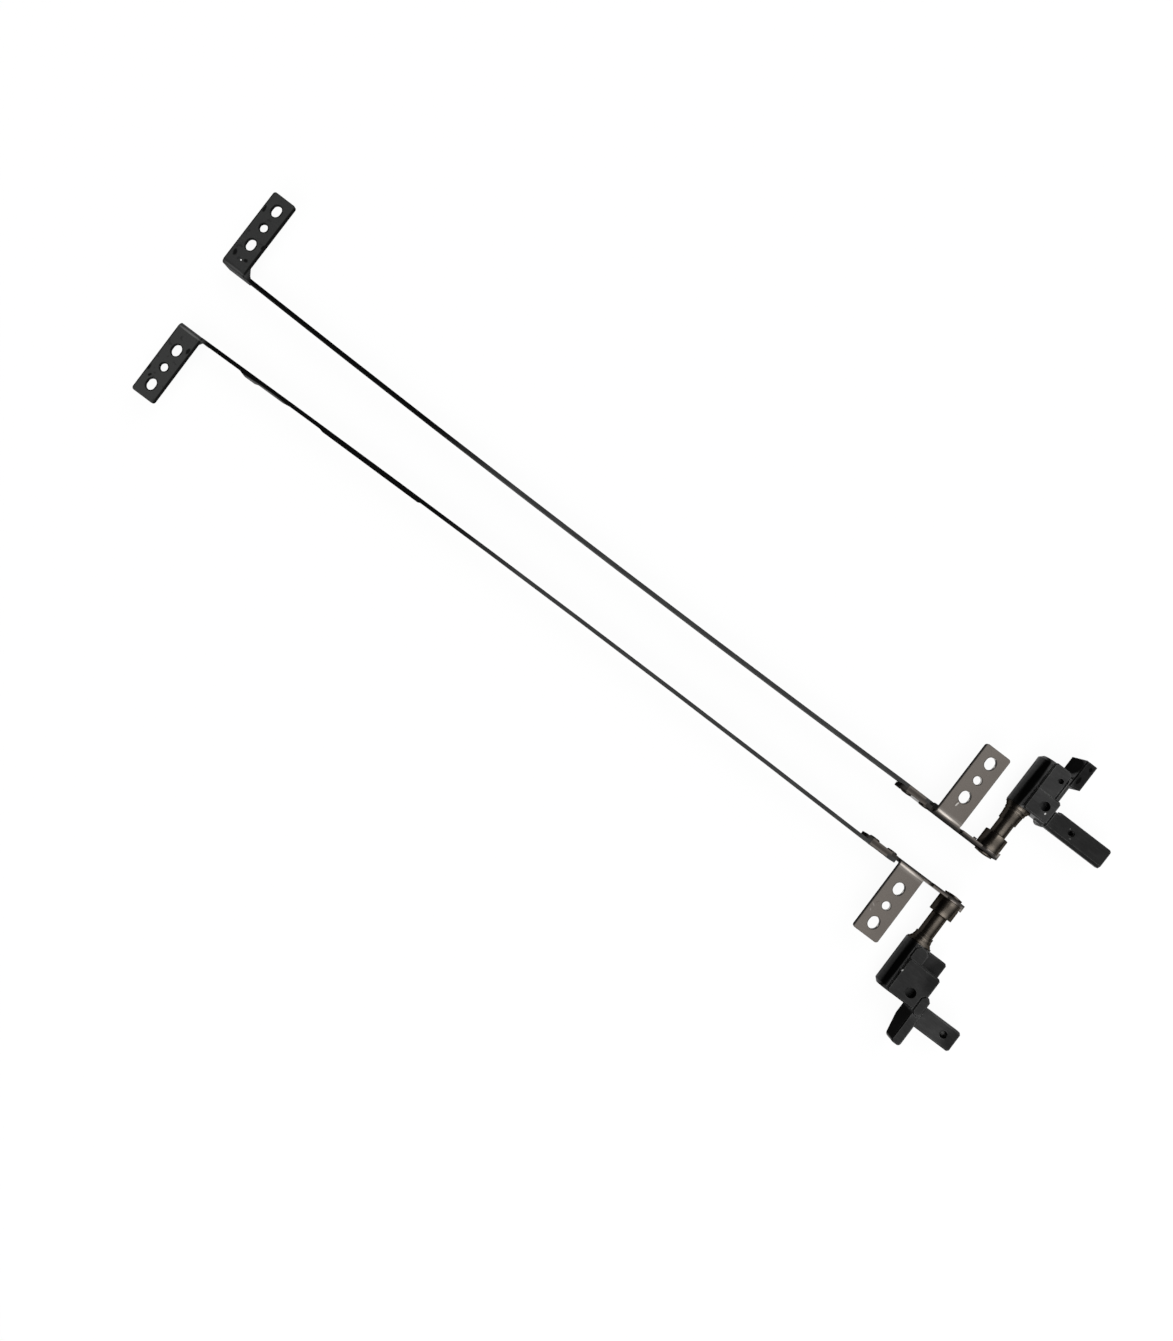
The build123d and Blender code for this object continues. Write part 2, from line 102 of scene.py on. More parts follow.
Colour = tuple[float, float, float]
Point = tuple[float, float, float]
Band = tuple[float, float]


class Side(Enum):
    """The two hinges of the pair."""

    RIGHT = "right"
    LEFT = "left"


TAB_REACH = {Side.RIGHT: 20.9, Side.LEFT: 19.7}
RAIL_TAB_X = {Side.RIGHT: -227.4, Side.LEFT: -227.0}
FLARE_LENGTH = {Side.RIGHT: 4.2, Side.LEFT: 2.3}


class Body(Enum):
    """The bodies that pieces ride on."""

    BASE = "base"
    RIGHT_ARM = "right_arm"
    LEFT_ARM = "left_arm"

    @classmethod
    def arm(cls, side: Side) -> Body:
        """The moving body of one hinge."""
        return cls.RIGHT_ARM if side is Side.RIGHT else cls.LEFT_ARM


@dataclass(frozen=True)
class HingeFrame:
    """Where one hinge lies: its origin in metres and its axes, in the shared frame."""

    side: Side
    origin: Point
    along: Point
    shaft: Point

    @classmethod
    def from_joint(cls, side: Side, joint: dict) -> HingeFrame:
        """Reads the frame of a hinge from its fold joint.

        Args:
            side: which hinge.
            joint: the joint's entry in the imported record.

        Returns:
            The frame whose y axis runs from the bracket into the housing.
        """
        px, py, _ = joint["pos_m"]
        ax, ay, _ = joint["axis"]
        if side is Side.RIGHT:
            return cls(side, (px, py, 0.0), (-ay, ax, 0.0), (-ax, -ay, 0.0))
        return cls(side, (px, py, 0.0), (-ay, ax, 0.0), (ax, ay, 0.0))

    def place(self, points: np.ndarray) -> np.ndarray:
        """Moves points from the hinge's own frame to the shared frame.

        Args:
            points: (n, 3) array in millimetres.

        Returns:
            (n, 3) array in metres.
        """
        axes = np.array([self.along, self.shaft, (0.0, 0.0, 1.0)])
        return np.array(self.origin) + MM * (points @ axes)

    def named(self, part: str) -> str:
        """Name of a node or piece of this hinge."""
        return f"{self.side.value}_{part}"


@dataclass(frozen=True)
class Surface:
    """Points and quads of a surface worked out on a grid."""

    points: np.ndarray
    faces: np.ndarray

    def __add__(self, other: Surface) -> Surface:
        """Both surfaces as one."""
        faces = np.concatenate([self.faces, other.faces + len(self.points)])
        return Surface(np.concatenate([self.points, other.points]), faces)


def grid_quads(rows: int, cols: int, wrap_rows: bool, wrap_cols: bool) -> np.ndarray:
    """Quads that join neighbouring points of a grid.

    Args:
        rows: points along the first parameter.
        cols: points along the second parameter.
        wrap_rows: whether the last row joins the first.
        wrap_cols: whether the last column joins the first.

    Returns:
        (n, 4) array of point numbers.
    """
    i = np.arange(rows if wrap_rows else rows - 1)
    j = np.arange(cols if wrap_cols else cols - 1)
    a, b = np.meshgrid(i, j, indexing="ij")
    a2 = (a + 1) % rows
    b2 = (b + 1) % cols
    quads = [a * cols + b, a2 * cols + b, a2 * cols + b2, a * cols + b2]
    return np.stack(quads, axis=-1).reshape(-1, 4)


def turned_surface(profile: np.ndarray, x: float, z: float, steps: int) -> Surface:
    """Profile carried round a line along y.

    The point at angle t and profile place s is (x + r(s) cos t, y(s), z + r(s) sin t).

    Args:
        profile: (n, 2) array of radius and y, both ends on the line.
        x: place of the line along the strip.
        z: height of the line.
        steps: points round the line.

    Returns:
        The closed surface.
    """
    t = np.linspace(0.0, 2.0 * np.pi, steps, endpoint=False)[:, None]
    radius, y = profile[:, 0][None, :], profile[:, 1][None, :]
    grid = [x + radius * np.cos(t), y + 0.0 * t, z + radius * np.sin(t)]
    points = np.stack(grid, axis=-1).reshape(-1, 3)
    return Surface(points, grid_quads(steps, len(profile), True, False))


def slot_rim(x: float, y: float, radius: float, half: float, section: np.ndarray) -> Surface:
    """Closed section carried round the edge of a slot, or of a hole where half is 0.

    At angle t the section's offset o and height h lie at
    (x + (radius + o) cos t, y + (radius + o) sin t + half sign(sin t), h).

    Args:
        x: middle of the slot along the strip.
        y: middle of the slot along the shaft.
        radius: radius of the slot's round ends.
        half: half the length of its straight sides.
        section: (n, 2) closed loop of offset and height.

    Returns:
        The closed rim.
    """
    t = np.linspace(0.0, np.pi, RIM_STEPS)
    angle = np.concatenate([t, t + np.pi])[:, None]
    shift = np.repeat([half, -half], RIM_STEPS)[:, None]
    if half == 0.0:
        angle = np.concatenate([t[:-1], t[:-1] + np.pi])[:, None]
        shift = np.zeros_like(angle)
    reach = radius + section[:, 0][None, :]
    height = section[:, 1][None, :] + 0.0 * angle
    grid = [x + reach * np.cos(angle), y + reach * np.sin(angle) + shift, height]
    points = np.stack(grid, axis=-1).reshape(-1, 3)
    return Surface(points, grid_quads(len(angle), len(section), True, True))


def rim_section(roll: float, hug: float, level: float, proud: float) -> np.ndarray:
    """Flat ellipse that hugs the edge of an opening.

    At angle t its offset is roll (hug + (1 - hug) cos t) and its height level + proud sin t.

    Args:
        roll: how far it reaches from the edge.
        hug: place of its middle as a share of the reach.
        level: height of the face that the opening is in.
        proud: how far it stands off that face.

    Returns:
        (n, 2) closed loop of offset and height.
    """
    t = np.linspace(0.0, 2.0 * np.pi, SECTION_STEPS, endpoint=False)
    offset = roll * (hug + (1.0 - hug) * np.cos(t))
    return np.stack([offset, level + proud * np.sin(t)], axis=-1)


def thread_ridge(x: float, y: float, radius: float, pitch: float, z0: float, z1: float) -> Surface:
    """Inner screw thread as one ridge that winds up the wall of a hole.

    A blunt triangle, 0.55 pitch high, is carried along the helix
    (x + R cos t, y + R sin t, z0 + pitch t / 2 pi), fading out at both ends.

    Args:
        x: middle of the hole along the strip.
        y: middle of the hole along the shaft.
        radius: radius of the hole.
        pitch: rise of one turn.
        z0: height where the ridge starts.
        z1: height where it ends.

    Returns:
        The ridge, closed at both ends where it fades to nothing.
    """
    turns = (z1 - z0) / pitch
    fade_angle, root, crest, root_half, crest_half = 1.2, -0.05, 0.55, 0.42, 0.06
    t = np.linspace(0.0, 2.0 * np.pi * turns, int(THREAD_STEPS * turns))[:, None]
    fade = np.clip(np.minimum(t, t[-1] - t) / fade_angle, FADE_LEAST, 1.0)
    inward = np.array([root, crest, crest, root])[None, :] * pitch
    lift = np.array([-root_half, -crest_half, crest_half, root_half])[None, :] * pitch
    reach = radius - inward * fade
    rise = z0 + pitch * t / (2.0 * np.pi) + lift * fade
    grid = [x + reach * np.cos(t), y + reach * np.sin(t), rise]
    points = np.stack(grid, axis=-1).reshape(-1, 3)
    return Surface(points, grid_quads(len(t), inward.size, False, True))


def swept_ridge(path: np.ndarray, side: Point, up: Point, width: float, height: float) -> Surface:
    """Low rounded ridge carried along a path.

    The section is an ellipse of the given width and height, cut off a quarter of its height
    below the path, and it fades out over the first and last tenth of the path.

    Args:
        path: (n, 3) array of points.
        side: direction across the ridge.
        up: direction in which it stands.
        width: full width.
        height: full height.

    Returns:
        The closed ridge.
    """
    fade_share, foot = 0.1, -0.25
    s = np.linspace(0.0, 1.0, len(path))
    fade = np.clip(np.minimum(s, 1.0 - s) / fade_share, FADE_LEAST, 1.0)[:, None, None]
    turn = np.linspace(0.0, 2.0 * np.pi, RIDGE_STEPS, endpoint=False)
    lift = np.maximum(np.sin(turn), foot)
    across = np.outer(np.cos(turn) * width / 2, side) + np.outer(lift * height, up)
    points = path[:, None, :] + fade * across[None, :, :]
    quads = grid_quads(len(path), len(turn), False, True)
    return Surface(points.reshape(-1, 3), quads)


def rounded_block(middle: Point, half: Point, power: float) -> Surface:
    """Block with rounded edges and corners.

    With c(t) = sign(cos t) |cos t|^power and s(t) likewise from the sine, the point at
    angles u and v is middle + half (c(v) c(u), c(v) s(u), s(v)).

    Args:
        middle: centre of the block.
        half: half its length along each axis.
        power: 1 gives an ellipsoid, nearer 0 a sharper block.

    Returns:
        The closed surface.
    """
    u = np.linspace(0.0, 2.0 * np.pi, BLOCK_STEPS, endpoint=False)[:, None]
    v = np.linspace(-np.pi / 2, np.pi / 2, BLOCK_ROWS)[None, :]
    waves = (np.cos(u), np.sin(u), np.cos(v), np.sin(v))
    cu, su, cv, sv = (np.sign(wave) * np.abs(wave) ** power for wave in waves)
    grid = [cv * cu, cv * su, sv + 0.0 * u]
    points = np.array(middle) + np.array(half) * np.stack(grid, axis=-1).reshape(-1, 3)
    return Surface(points, grid_quads(BLOCK_STEPS, BLOCK_ROWS, True, False))


def joined(surfaces: Iterable[Surface]) -> Surface:
    """Several surfaces as one.

    Args:
        surfaces: the surfaces to join.

    Returns:
        One surface that holds them all.
    """
    first, *rest = surfaces
    for surface in rest:
        first = first + surface
    return first


Link = Union["Val", float, Sequence[float]]


class Val:
    """A shader socket that can stand in a Python expression."""

    def __init__(self, sheet: NodeSheet, socket: bpy.types.NodeSocket) -> None:
        """Wraps one output socket of a sheet."""
        self.sheet = sheet
        self.socket = socket

    def _math(self, operation: str, first: Link, second: Link = 0.0) -> Val:
        """One Math node."""
        links = {0: first, 1: second}
        return self.sheet.node("ShaderNodeMath", {"operation": operation}, links)

    def __add__(self, other: Link) -> Val:
        """Sum."""
        return self._math("ADD", self, other)

    __radd__ = __add__

    def __sub__(self, other: Link) -> Val:
        """Difference."""
        return self._math("SUBTRACT", self, other)

    def __rsub__(self, other: Link) -> Val:
        """Difference the other way round."""
        return self._math("SUBTRACT", other, self)

    def __mul__(self, other: Link) -> Val:
        """Product."""
        return self._math("MULTIPLY", self, other)

    __rmul__ = __mul__

    def __truediv__(self, other: Link) -> Val:
        """Quotient."""
        return self._math("DIVIDE", self, other)

    def __pow__(self, other: Link) -> Val:
        """Power."""
        return self._math("POWER", self, other)

    def most(self, other: Link) -> Val:
        """The larger of two values."""
        return self._math("MAXIMUM", self, other)

    def swing(self, size: float) -> Val:
        """Noise as a swing of the given size to both sides of 0."""
        return (self - NOISE_MIDDLE) * size

    def step(self, low: float, high: float) -> Val:
        """Smooth rise from 0 at low to 1 at high, or a fall where high is the smaller."""
        settings = {"interpolation_type": "SMOOTHSTEP"}
        if low > high:
            return 1.0 - self.step(high, low)
        links = {"Value": self, "From Min": low, "From Max": high}
        return self.sheet.node("ShaderNodeMapRange", settings, links)


class NodeSheet:
    """The node tree of one material or of the world."""

    def __init__(self, tree: bpy.types.NodeTree) -> None:
        """Starts from an empty tree."""
        self.tree = tree
        tree.nodes.clear()

    def node(self, kind: str, settings: dict, links: dict, out: Union[int, str] = 0) -> Val:
        """Adds any node.

        Args:
            kind: the node's type name.
            settings: its own settings, set before its sockets.
            links: values or links of its sockets, by name or number.
            out: the output that is wanted.

        Returns:
            The wanted output.
        """
        made = self.tree.nodes.new(kind)
        for key, value in settings.items():
            setattr(made, key, value)
        for key, value in links.items():
            socket = made.inputs[key]
            if isinstance(value, Val):
                self.tree.links.new(value.socket, socket)
            else:
                socket.default_value = value
        if not made.outputs:
            return Val(self, made.inputs[0])
        return Val(self, made.outputs[out])

    def mix(self, factor: Link, first: Union[Val, Colour], second: Union[Val, Colour]) -> Val:
        """Colour between two colours.

        Args:
            factor: 0 gives the first, 1 the second.
            first: colour or link.
            second: colour or link.

        Returns:
            The mixed colour.
        """
        ends = [c if isinstance(c, Val) else (*c, 1.0) for c in (first, second)]
        first_colour, second_colour, mixed_colour = 6, 7, 2
        links = {0: factor, first_colour: ends[0], second_colour: ends[1]}
        return self.node("ShaderNodeMix", {"data_type": "RGBA"}, links, mixed_colour)

    def noise(
        self, vector: Val, scale: float, detail: float = PLAIN_DETAIL, rough: float = 0.55
    ) -> Val:
        """Plain noise from 0 to 1.

        Args:
            vector: where the noise is read.
            scale: features per unit of the vector.
            detail: finer octaves.
            rough: strength of the finer octaves.

        Returns:
            The noise.
        """
        links = {"Vector": vector, "Scale": scale, "Detail": detail, "Roughness": rough}
        return self.node("ShaderNodeTexNoise", {}, links)


class Place:
    """Local millimetres of a shading point on one hinge."""

    def __init__(self, sheet: NodeSheet, frame: HingeFrame) -> None:
        """Reads Object coordinates and turns them into the hinge's own frame."""
        seen = sheet.node("ShaderNodeTexCoord", {}, {}, "Object")
        cut = {"operation": "SUBTRACT"}
        self.sheet = sheet
        self.side = frame.side
        rel = sheet.node("ShaderNodeVectorMath", cut, {0: seen, 1: frame.origin})
        self.x = self._along(rel, frame.along)
        self.y = self._along(rel, frame.shaft)
        self.z = self._along(rel, (0.0, 0.0, 1.0))
        self.p = sheet.node("ShaderNodeCombineXYZ", {}, {0: self.x, 1: self.y, 2: self.z})

    def _along(self, rel: Val, axis: Point) -> Val:
        """Millimetres along one axis."""
        scaled = tuple(a / MM for a in axis)
        links = {0: rel, 1: scaled}
        settings = {"operation": "DOT_PRODUCT"}
        return self.sheet.node("ShaderNodeVectorMath", settings, links, "Value")

    def stretched(self, fx: float, fy: float, fz: float) -> Val:
        """The point with each axis scaled, for a pattern that runs along one of them."""
        links = {0: self.p, 1: (fx, fy, fz)}
        return self.sheet.node("ShaderNodeVectorMath", {"operation": "MULTIPLY"}, links)

    def spot(self, mark: Mark, rag: Val) -> Val:
        """Soft mask of one mark seen from above.

        Args:
            mark: its place and size.
            rag: noise that breaks up its outline.

        Returns:
            The mark's strength inside it, 0 outside.
        """
        c, s = math.cos(math.radians(mark.turn)), math.sin(math.radians(mark.turn))
        dx, dy = self.x - mark.x, self.y - mark.y
        u = (dx * c + dy * s) / mark.length
        v = (dy * c - dx * s) / mark.width
        far = (u * u + v * v) ** 0.5 + rag.swing(mark.rag)
        return far.step(1.0 + mark.soft, 1.0 - mark.soft) * mark.depth

    def own(self, marks: SidedMarks) -> list[Mark]:
        """The marks that lie on this hinge."""
        return [mark for side, mark in marks if side is self.side]

    def cover(self, marks: SidedMarks, rag: Val, start: Val) -> Val:
        """Mask of this hinge's marks together.

        Args:
            marks: marks of both hinges.
            rag: noise that breaks up their outlines.
            start: mask that they are laid over.

        Returns:
            The strongest of them at each point.
        """
        for mark in self.own(marks):
            start = start.most(self.spot(mark, rag))
        return start


@dataclass(frozen=True)
class Mark:
    """A stain, nick, scratch or patch of painted light or shade: half length, half width, turn in
    degrees and strength.
    """

    x: float
    y: float
    length: float
    width: float
    turn: float = 0.0
    soft: float = 0.35
    rag: float = 0.9
    depth: float = 1.0


SidedMarks = tuple[tuple[Side, Mark], ...]


def sided(side: Side, *marks: Mark) -> SidedMarks:
    """Marks of one hinge, each with its side."""
    return tuple((side, mark) for mark in marks)


def opening_marks(
    side: Side, x: float, far: float, slot: Band, hole: Band, soft: float, rag: float
) -> SidedMarks:
    """Marks over the two slots and the middle hole of a tab.

    Args:
        side: which hinge.
        x: middle of the tab along the strip.
        far: y of the slot at the tab's free end.
        slot: half length and half width of the marks over the slots.
        hole: half length and half width of the mark over the middle hole.
        soft: softness of their outlines.
        rag: how far noise breaks up their outlines.

    Returns:
        The three marks with their side.
    """
    sizes = ((far, slot), (far - SLOT_PITCH / 2, hole), (far - SLOT_PITCH, slot))
    return sided(side, *(Mark(x, y, *size, 0.0, soft, rag) for y, size in sizes))


def blend(first: Val, second: Val, share: float) -> Val:
    """Two patterns added, the first with the given share and the second with the rest."""
    return first * share + second * (1.0 - share)


@dataclass(frozen=True)
class Finish:
    """What all finishes have.

    A scale counts a noise's features per millimetre, a band holds the two limits of a
    smooth step, a share says how much of a layer shows, a swing how far noise moves a value
    to both sides, and relief is the depth in millimetres and the strength of the bump.
    """

    name: str
    colour: Colour
    rough: float = 0.45
    broad_scale: float = 0.3
    fine_scale: float = 3.0
    rough_swing: float = 0.2
    relief: Band = (0.02, 0.35)

    def material(self, frame: HingeFrame) -> bpy.types.Material:
        """The finish as a material of one hinge.

        Args:
            frame: the hinge it is for.

        Returns:
            The new material.
        """
        made = bpy.data.materials.new(frame.named(self.name))
        made.use_nodes = True
        sheet = NodeSheet(made.node_tree)
        sockets = self.sockets(sheet, Place(sheet, frame))
        surface = sheet.node("ShaderNodeBsdfPrincipled", {}, sockets)
        sheet.node("ShaderNodeOutputMaterial", {}, {"Surface": surface})
        return made

    def sockets(self, sheet: NodeSheet, at: Place) -> dict:
        """Values and links of the shader's sockets, set by each kind of finish."""
        raise NotImplementedError

    def bump(self, sheet: NodeSheet, height: Val) -> Val:
        """Normal of a fine relief.

        Args:
            sheet: the material's nodes.
            height: relief from 0 to 1.

        Returns:
            The bumped normal.
        """
        depth, strength = self.relief
        links = {"Height": height, "Distance": depth * MM, "Strength": strength}
        return sheet.node("ShaderNodeBump", {}, links, "Normal")

    @staticmethod
    def edges(sheet: NodeSheet, radius: float) -> Val:
        """Mask of sharp edges: where a normal rounded over the radius departs from the face."""
        settings = {"samples": EDGE_SAMPLES}
        soft = sheet.node("ShaderNodeBevel", settings, {"Radius": radius * MM})
        flat = sheet.node("ShaderNodeNewGeometry", {}, {}, "Normal")
        links = {0: soft, 1: flat}
        dot = sheet.node("ShaderNodeVectorMath", {"operation": "DOT_PRODUCT"}, links, "Value")
        return (1.0 - dot).step(*EDGE_BAND)


@dataclass(frozen=True)
class RailPaint(Finish):
    """Thin black paint on the long rails, greyer towards the hinge, with smudges, painted shade along
    the tab's edges and round its openings, and painted highlight lines along the tab's bend and the
    rail's edge.

    black_from and tab_film hold a value for each side, right first.
    """

    broad_scale: float = 0.16
    fine_scale: float = 2.6
    rough_swing: float = 0.22
    worn: Colour = (0.05, 0.05, 0.049)
    dark: Colour = (0.0015, 0.0015, 0.0015)
    speck_and_highlight: Colour = (0.75, 0.75, 0.74)
    gloss: float = 0.35
    coat_rough: float = 0.38
    grit_scale: float = 9.0
    smudge_scale: float = 0.55
    streak_stretch: Point = (0.12, 1.6, 1.6)
    black_from: Band = (-155.0, -141.0)
    black_fade: float = 14.0
    black_share: float = 0.97
    black_edge: float = 0.8
    tab_band: Band = (-222.0, -224.0)
    tab_film: Band = (0.2, 0.4)
    film_band: Band = (0.4, 0.75)
    streak_band: Band = (0.52, 0.75)
    film_share: float = 0.35
    cloud_band: Band = (0.62, 0.7)
    cloud_share: float = 0.4
    smudge_and_shade_share: float = 0.85
    smudge_rough: float = 0.15
    matt_share: float = 0.85
    shade_outline: float = 0.4
    edge: float = 0.16
    edge_band: Band = (0.45, 0.7)
    edge_least: float = 0.25
    edge_share: float = 0.5
    fine_relief: float = 0.6
    marks: SidedMarks = ()
    specks: SidedMarks = ()

    def sockets(self, sheet: NodeSheet, at: Place) -> dict:
        """Paint sockets; see the base class."""
        which = list(Side).index(at.side)
        middle = self.black_from[which]
        broad = sheet.noise(at.p, self.broad_scale, RICH_DETAIL)
        fine = sheet.noise(at.p, self.fine_scale, RICH_DETAIL)
        streak = sheet.noise(at.stretched(*self.streak_stretch), 1.0)
        grey = at.x.step(middle - self.black_fade, middle + self.black_fade)
        tab = at.x.step(*self.tab_band)
        black = (1.0 - grey) * (1.0 - tab)
        tone = sheet.mix(black * self.black_share, self.colour, self.dark)
        streaks = streak.step(*self.streak_band) * self.film_share
        film = (broad.step(*self.film_band) * self.film_share + streaks) * (1.0 - black)
        tone = sheet.mix(film.most(tab * self.tab_film[which]), tone, self.worn)
        cloud = sheet.noise(at.p, self.smudge_scale, LOW_DETAIL).step(*self.cloud_band)
        # Smudges, with painted shade: a dark outline along the tab's sharp edges and dark rings over
        # its openings.
        smudge_and_shade = at.cover(self.marks, fine, cloud * tab * self.cloud_share)
        smudge_and_shade = smudge_and_shade.most(self.edges(sheet, self.shade_outline) * tab)
        tone = sheet.mix(smudge_and_shade * self.smudge_and_shade_share, tone, self.dark)
        chipped = self.edge_least + broad.step(*self.edge_band) * self.edge_share
        rim = self.edges(sheet, self.edge) * (1.0 - tab) * chipped
        tone = sheet.mix(rim * (1.0 - black * self.black_edge), tone, self.worn)
        # A pale speck, and pale lines that are painted highlights along the tab's bend and the rail's
        # edge.
        for mark in at.own(self.specks):
            tone = sheet.mix(at.spot(mark, fine), tone, self.speck_and_highlight)
        rough = self.rough + broad.swing(self.rough_swing) + smudge_and_shade * self.smudge_rough
        grit = sheet.noise(at.p, self.grit_scale, LOW_DETAIL)
        return {
            "Base Color": tone,
            "Roughness": rough,
            "Specular IOR Level": 0.0,
            "Coat Weight": (1.0 - black.most(smudge_and_shade) * self.matt_share) * self.gloss,
            "Coat Roughness": self.coat_rough,
            "Normal": self.bump(sheet, blend(fine, grit, self.fine_relief)),
        }


@dataclass(frozen=True)
class PlatedSheet(Finish):
    """Black nickel on pressed sheet: fine rolled grain, soft stains, handling marks and a dark lap
    tongue, with a painted highlight along the bend, painted shade on the outer wall, end face and
    edges, and painted shade and light round the slots.
    """

    broad_scale: float = 0.22
    fine_scale: float = 3.2
    rough_swing: float = 0.14
    relief: Band = (0.012, 0.05)
    pale: Colour = (0.28, 0.26, 0.24)
    stain: Colour = (0.085, 0.074, 0.066)
    black: Colour = (0.012, 0.012, 0.012)
    bare: Colour = (0.55, 0.53, 0.5)
    grain_stretch: Point = (0.35, 7.0, 7.0)
    grain_rough: float = 0.65
    grain_band: Band = (0.5, 0.8)
    grain_share: float = 0.08
    grain_swing: float = 0.04
    grain_relief: float = 0.7
    cloud_band: Band = (0.45, 0.85)
    cloud_share: float = 0.35
    shade_band: Band = (-15.0, -9.0)
    shade_share: float = 0.12
    mark_share: float = 0.75
    mark_rough: float = 0.2
    mark_relief: float = 0.6
    scratch_share: float = 0.7
    highlight_rise: Band = (0.6, 1.4)
    highlight_fall: Band = (2.3, 1.3)
    highlight_share: float = 0.6
    hem_rise: Band = (-24.5, -24.2)
    hem_fall: Band = (-18.6, -18.9)
    hem_share: float = 0.7
    seam_rise: Band = (0.2, 0.7)
    seam_fall: Band = (1.4, 1.0)
    seam_share: float = 0.35
    # Painted shade along sharp edges, on the outer wall and on the end face; the lap tongue is dark
    # too.
    edge: float = 0.3
    edge_least: float = 0.5
    edge_share: float = 0.4
    wall_shade_band: Band = (0.75, 0.2)
    strip_band: Band = (-15.6, -15.8)
    dark_lap_and_shade_share: float = 0.88
    shade_ring: float = 0.12
    shade_ring_shift: float = 0.8
    shade_ring_share: float = 0.8
    marks: SidedMarks = ()
    scratches: SidedMarks = ()
    slot_light_and_shade: SidedMarks = ()

    def sockets(self, sheet: NodeSheet, at: Place) -> dict:
        """Plating sockets; see the base class."""
        broad = sheet.noise(at.p, self.broad_scale, RICH_DETAIL)
        fine = sheet.noise(at.p, self.fine_scale, RICH_DETAIL)
        rolled = at.stretched(*self.grain_stretch)
        grain = sheet.noise(rolled, 1.0, RICH_DETAIL, self.grain_rough)
        shade = at.x.step(*self.shade_band) * self.shade_share
        cloud = broad.step(*self.cloud_band) * self.cloud_share + shade
        tone = sheet.mix(cloud, self.colour, self.stain)
        tone = sheet.mix(grain.step(*self.grain_band) * self.grain_share, tone, self.pale)
        marked = at.cover(self.marks, fine, fine * 0.0)
        tone = sheet.mix(marked * self.mark_share, tone, self.stain)
        scratched = at.cover(self.scratches, fine, fine * 0.0)
        tone = sheet.mix(scratched * self.scratch_share, tone, self.bare)
        # Painted highlight: the plating is paled in a band just inside the bend.
        bend_highlight = at.y.step(*self.highlight_fall) * at.y.step(*self.highlight_rise)
        tone = sheet.mix(bend_highlight * self.highlight_share, tone, self.pale)
        hem = at.x.step(*self.hem_rise) * at.x.step(*self.hem_fall)
        seam = at.y.step(*self.seam_rise) * at.y.step(*self.seam_fall)
        tone = sheet.mix(hem * (self.hem_share + seam * (1.0 - self.hem_share)), tone, self.stain)
        tone = sheet.mix(hem * seam * self.seam_share, tone, self.black)
        # Painted shade: a black outline along sharp edges, and the outer wall and end face turned
        # black and not metallic; beyond the end face the lap tongue is dark too.
        rim = self.edges(sheet, self.edge) * (self.edge_least + broad * self.edge_share)
        outer = at.y.step(*self.wall_shade_band).most(at.x.step(*self.strip_band))
        dark_lap_and_shade = (outer * (1.0 - hem)).most(rim)
        tone = sheet.mix(dark_lap_and_shade * self.dark_lap_and_shade_share, tone, self.black)
        # Painted shade and light round the slots: a black ring shifted to one side, and pale bare
        # metal over the slot walls.
        for mark in at.own(self.slot_light_and_shade):
            wide, tall = mark.length + self.shade_ring, mark.width + self.shade_ring
            shift = self.shade_ring * self.shade_ring_shift
            shade_ring = replace(mark, x=mark.x + shift, length=wide, width=tall)
            tone = sheet.mix(at.spot(shade_ring, fine) * self.shade_ring_share, tone, self.black)
            tone = sheet.mix(at.spot(mark, fine), tone, self.bare)
        rough = self.rough + broad.swing(self.rough_swing) + grain.swing(self.grain_swing)
        height = blend(grain, fine, self.grain_relief) - marked * self.mark_relief
        return {
            "Base Color": tone,
            "Metallic": 1.0 - dark_lap_and_shade,
            "Roughness": rough + marked * self.mark_rough,
            "Specular IOR Level": 0.0,
            "Normal": self.bump(sheet, height),
        }


@dataclass(frozen=True)
class TurnedSteel(Finish):
    """Dark plated turned steel with tool rings across the shaft line, a film of grease, painted shade
    on its -x side and painted highlights on the edges of the other side.
    """

    broad_scale: float = 0.5
    fine_scale: float = 5.0
    rough_swing: float = 0.16
    relief: Band = (0.02, 0.5)
    pale: Colour = (0.24, 0.21, 0.175)
    grease: Colour = (0.03, 0.026, 0.022)
    ring_pitch: float = 0.12
    ring_band: Band = (0.5, 0.75)
    ring_share: float = 0.3
    ring_swing: float = 0.1
    ring_relief: float = 0.8
    cloud_band: Band = (0.5, 0.8)
    cloud_share: float = 0.4
    flare_band: Band = (8.8, 10.4)
    flare_film: float = 0.2
    shade_side_band: Band = (-1.0, -2.0)
    shade_side_share: float = 0.8
    edge: float = 0.2
    edge_share: float = 0.6
    edge_tint: float = 0.3

    def sockets(self, sheet: NodeSheet, at: Place) -> dict:
        """Turned steel sockets; see the base class."""
        links = {"W": at.y / self.ring_pitch, "Scale": 1.0, "Detail": PLAIN_DETAIL}
        rings = sheet.node("ShaderNodeTexNoise", {"noise_dimensions": "1D"}, links)
        broad = sheet.noise(at.p, self.broad_scale)
        fine = sheet.noise(at.p, self.fine_scale)
        tone = sheet.mix(rings.step(*self.ring_band) * self.ring_share, self.colour, self.pale)
        tone = sheet.mix(broad.step(*self.cloud_band) * self.cloud_share, tone, self.grease)
        # Painted shade darkens the -x side of each turned piece; the flare gets a film of grease.
        shaded_side = at.x.step(*self.shade_side_band) * self.shade_side_share
        film = (at.y.step(*self.flare_band) * self.flare_film).most(shaded_side)
        tone = sheet.mix(film, tone, self.grease)
        # Painted highlight: sharp edges are paled, except on the shaded -x side.
        worn = self.edges(sheet, self.edge) * (1.0 - shaded_side) * self.edge_share
        tone = sheet.mix(worn, tone, self.pale)
        return {
            "Base Color": tone,
            "Metallic": 1.0,
            "Roughness": self.rough + broad.swing(self.rough_swing) + rings.swing(self.ring_swing),
            "Specular Tint": (self.edge_tint,) * 3 + (1.0,),
            "Normal": self.bump(sheet, blend(rings, fine, self.ring_relief)),
        }


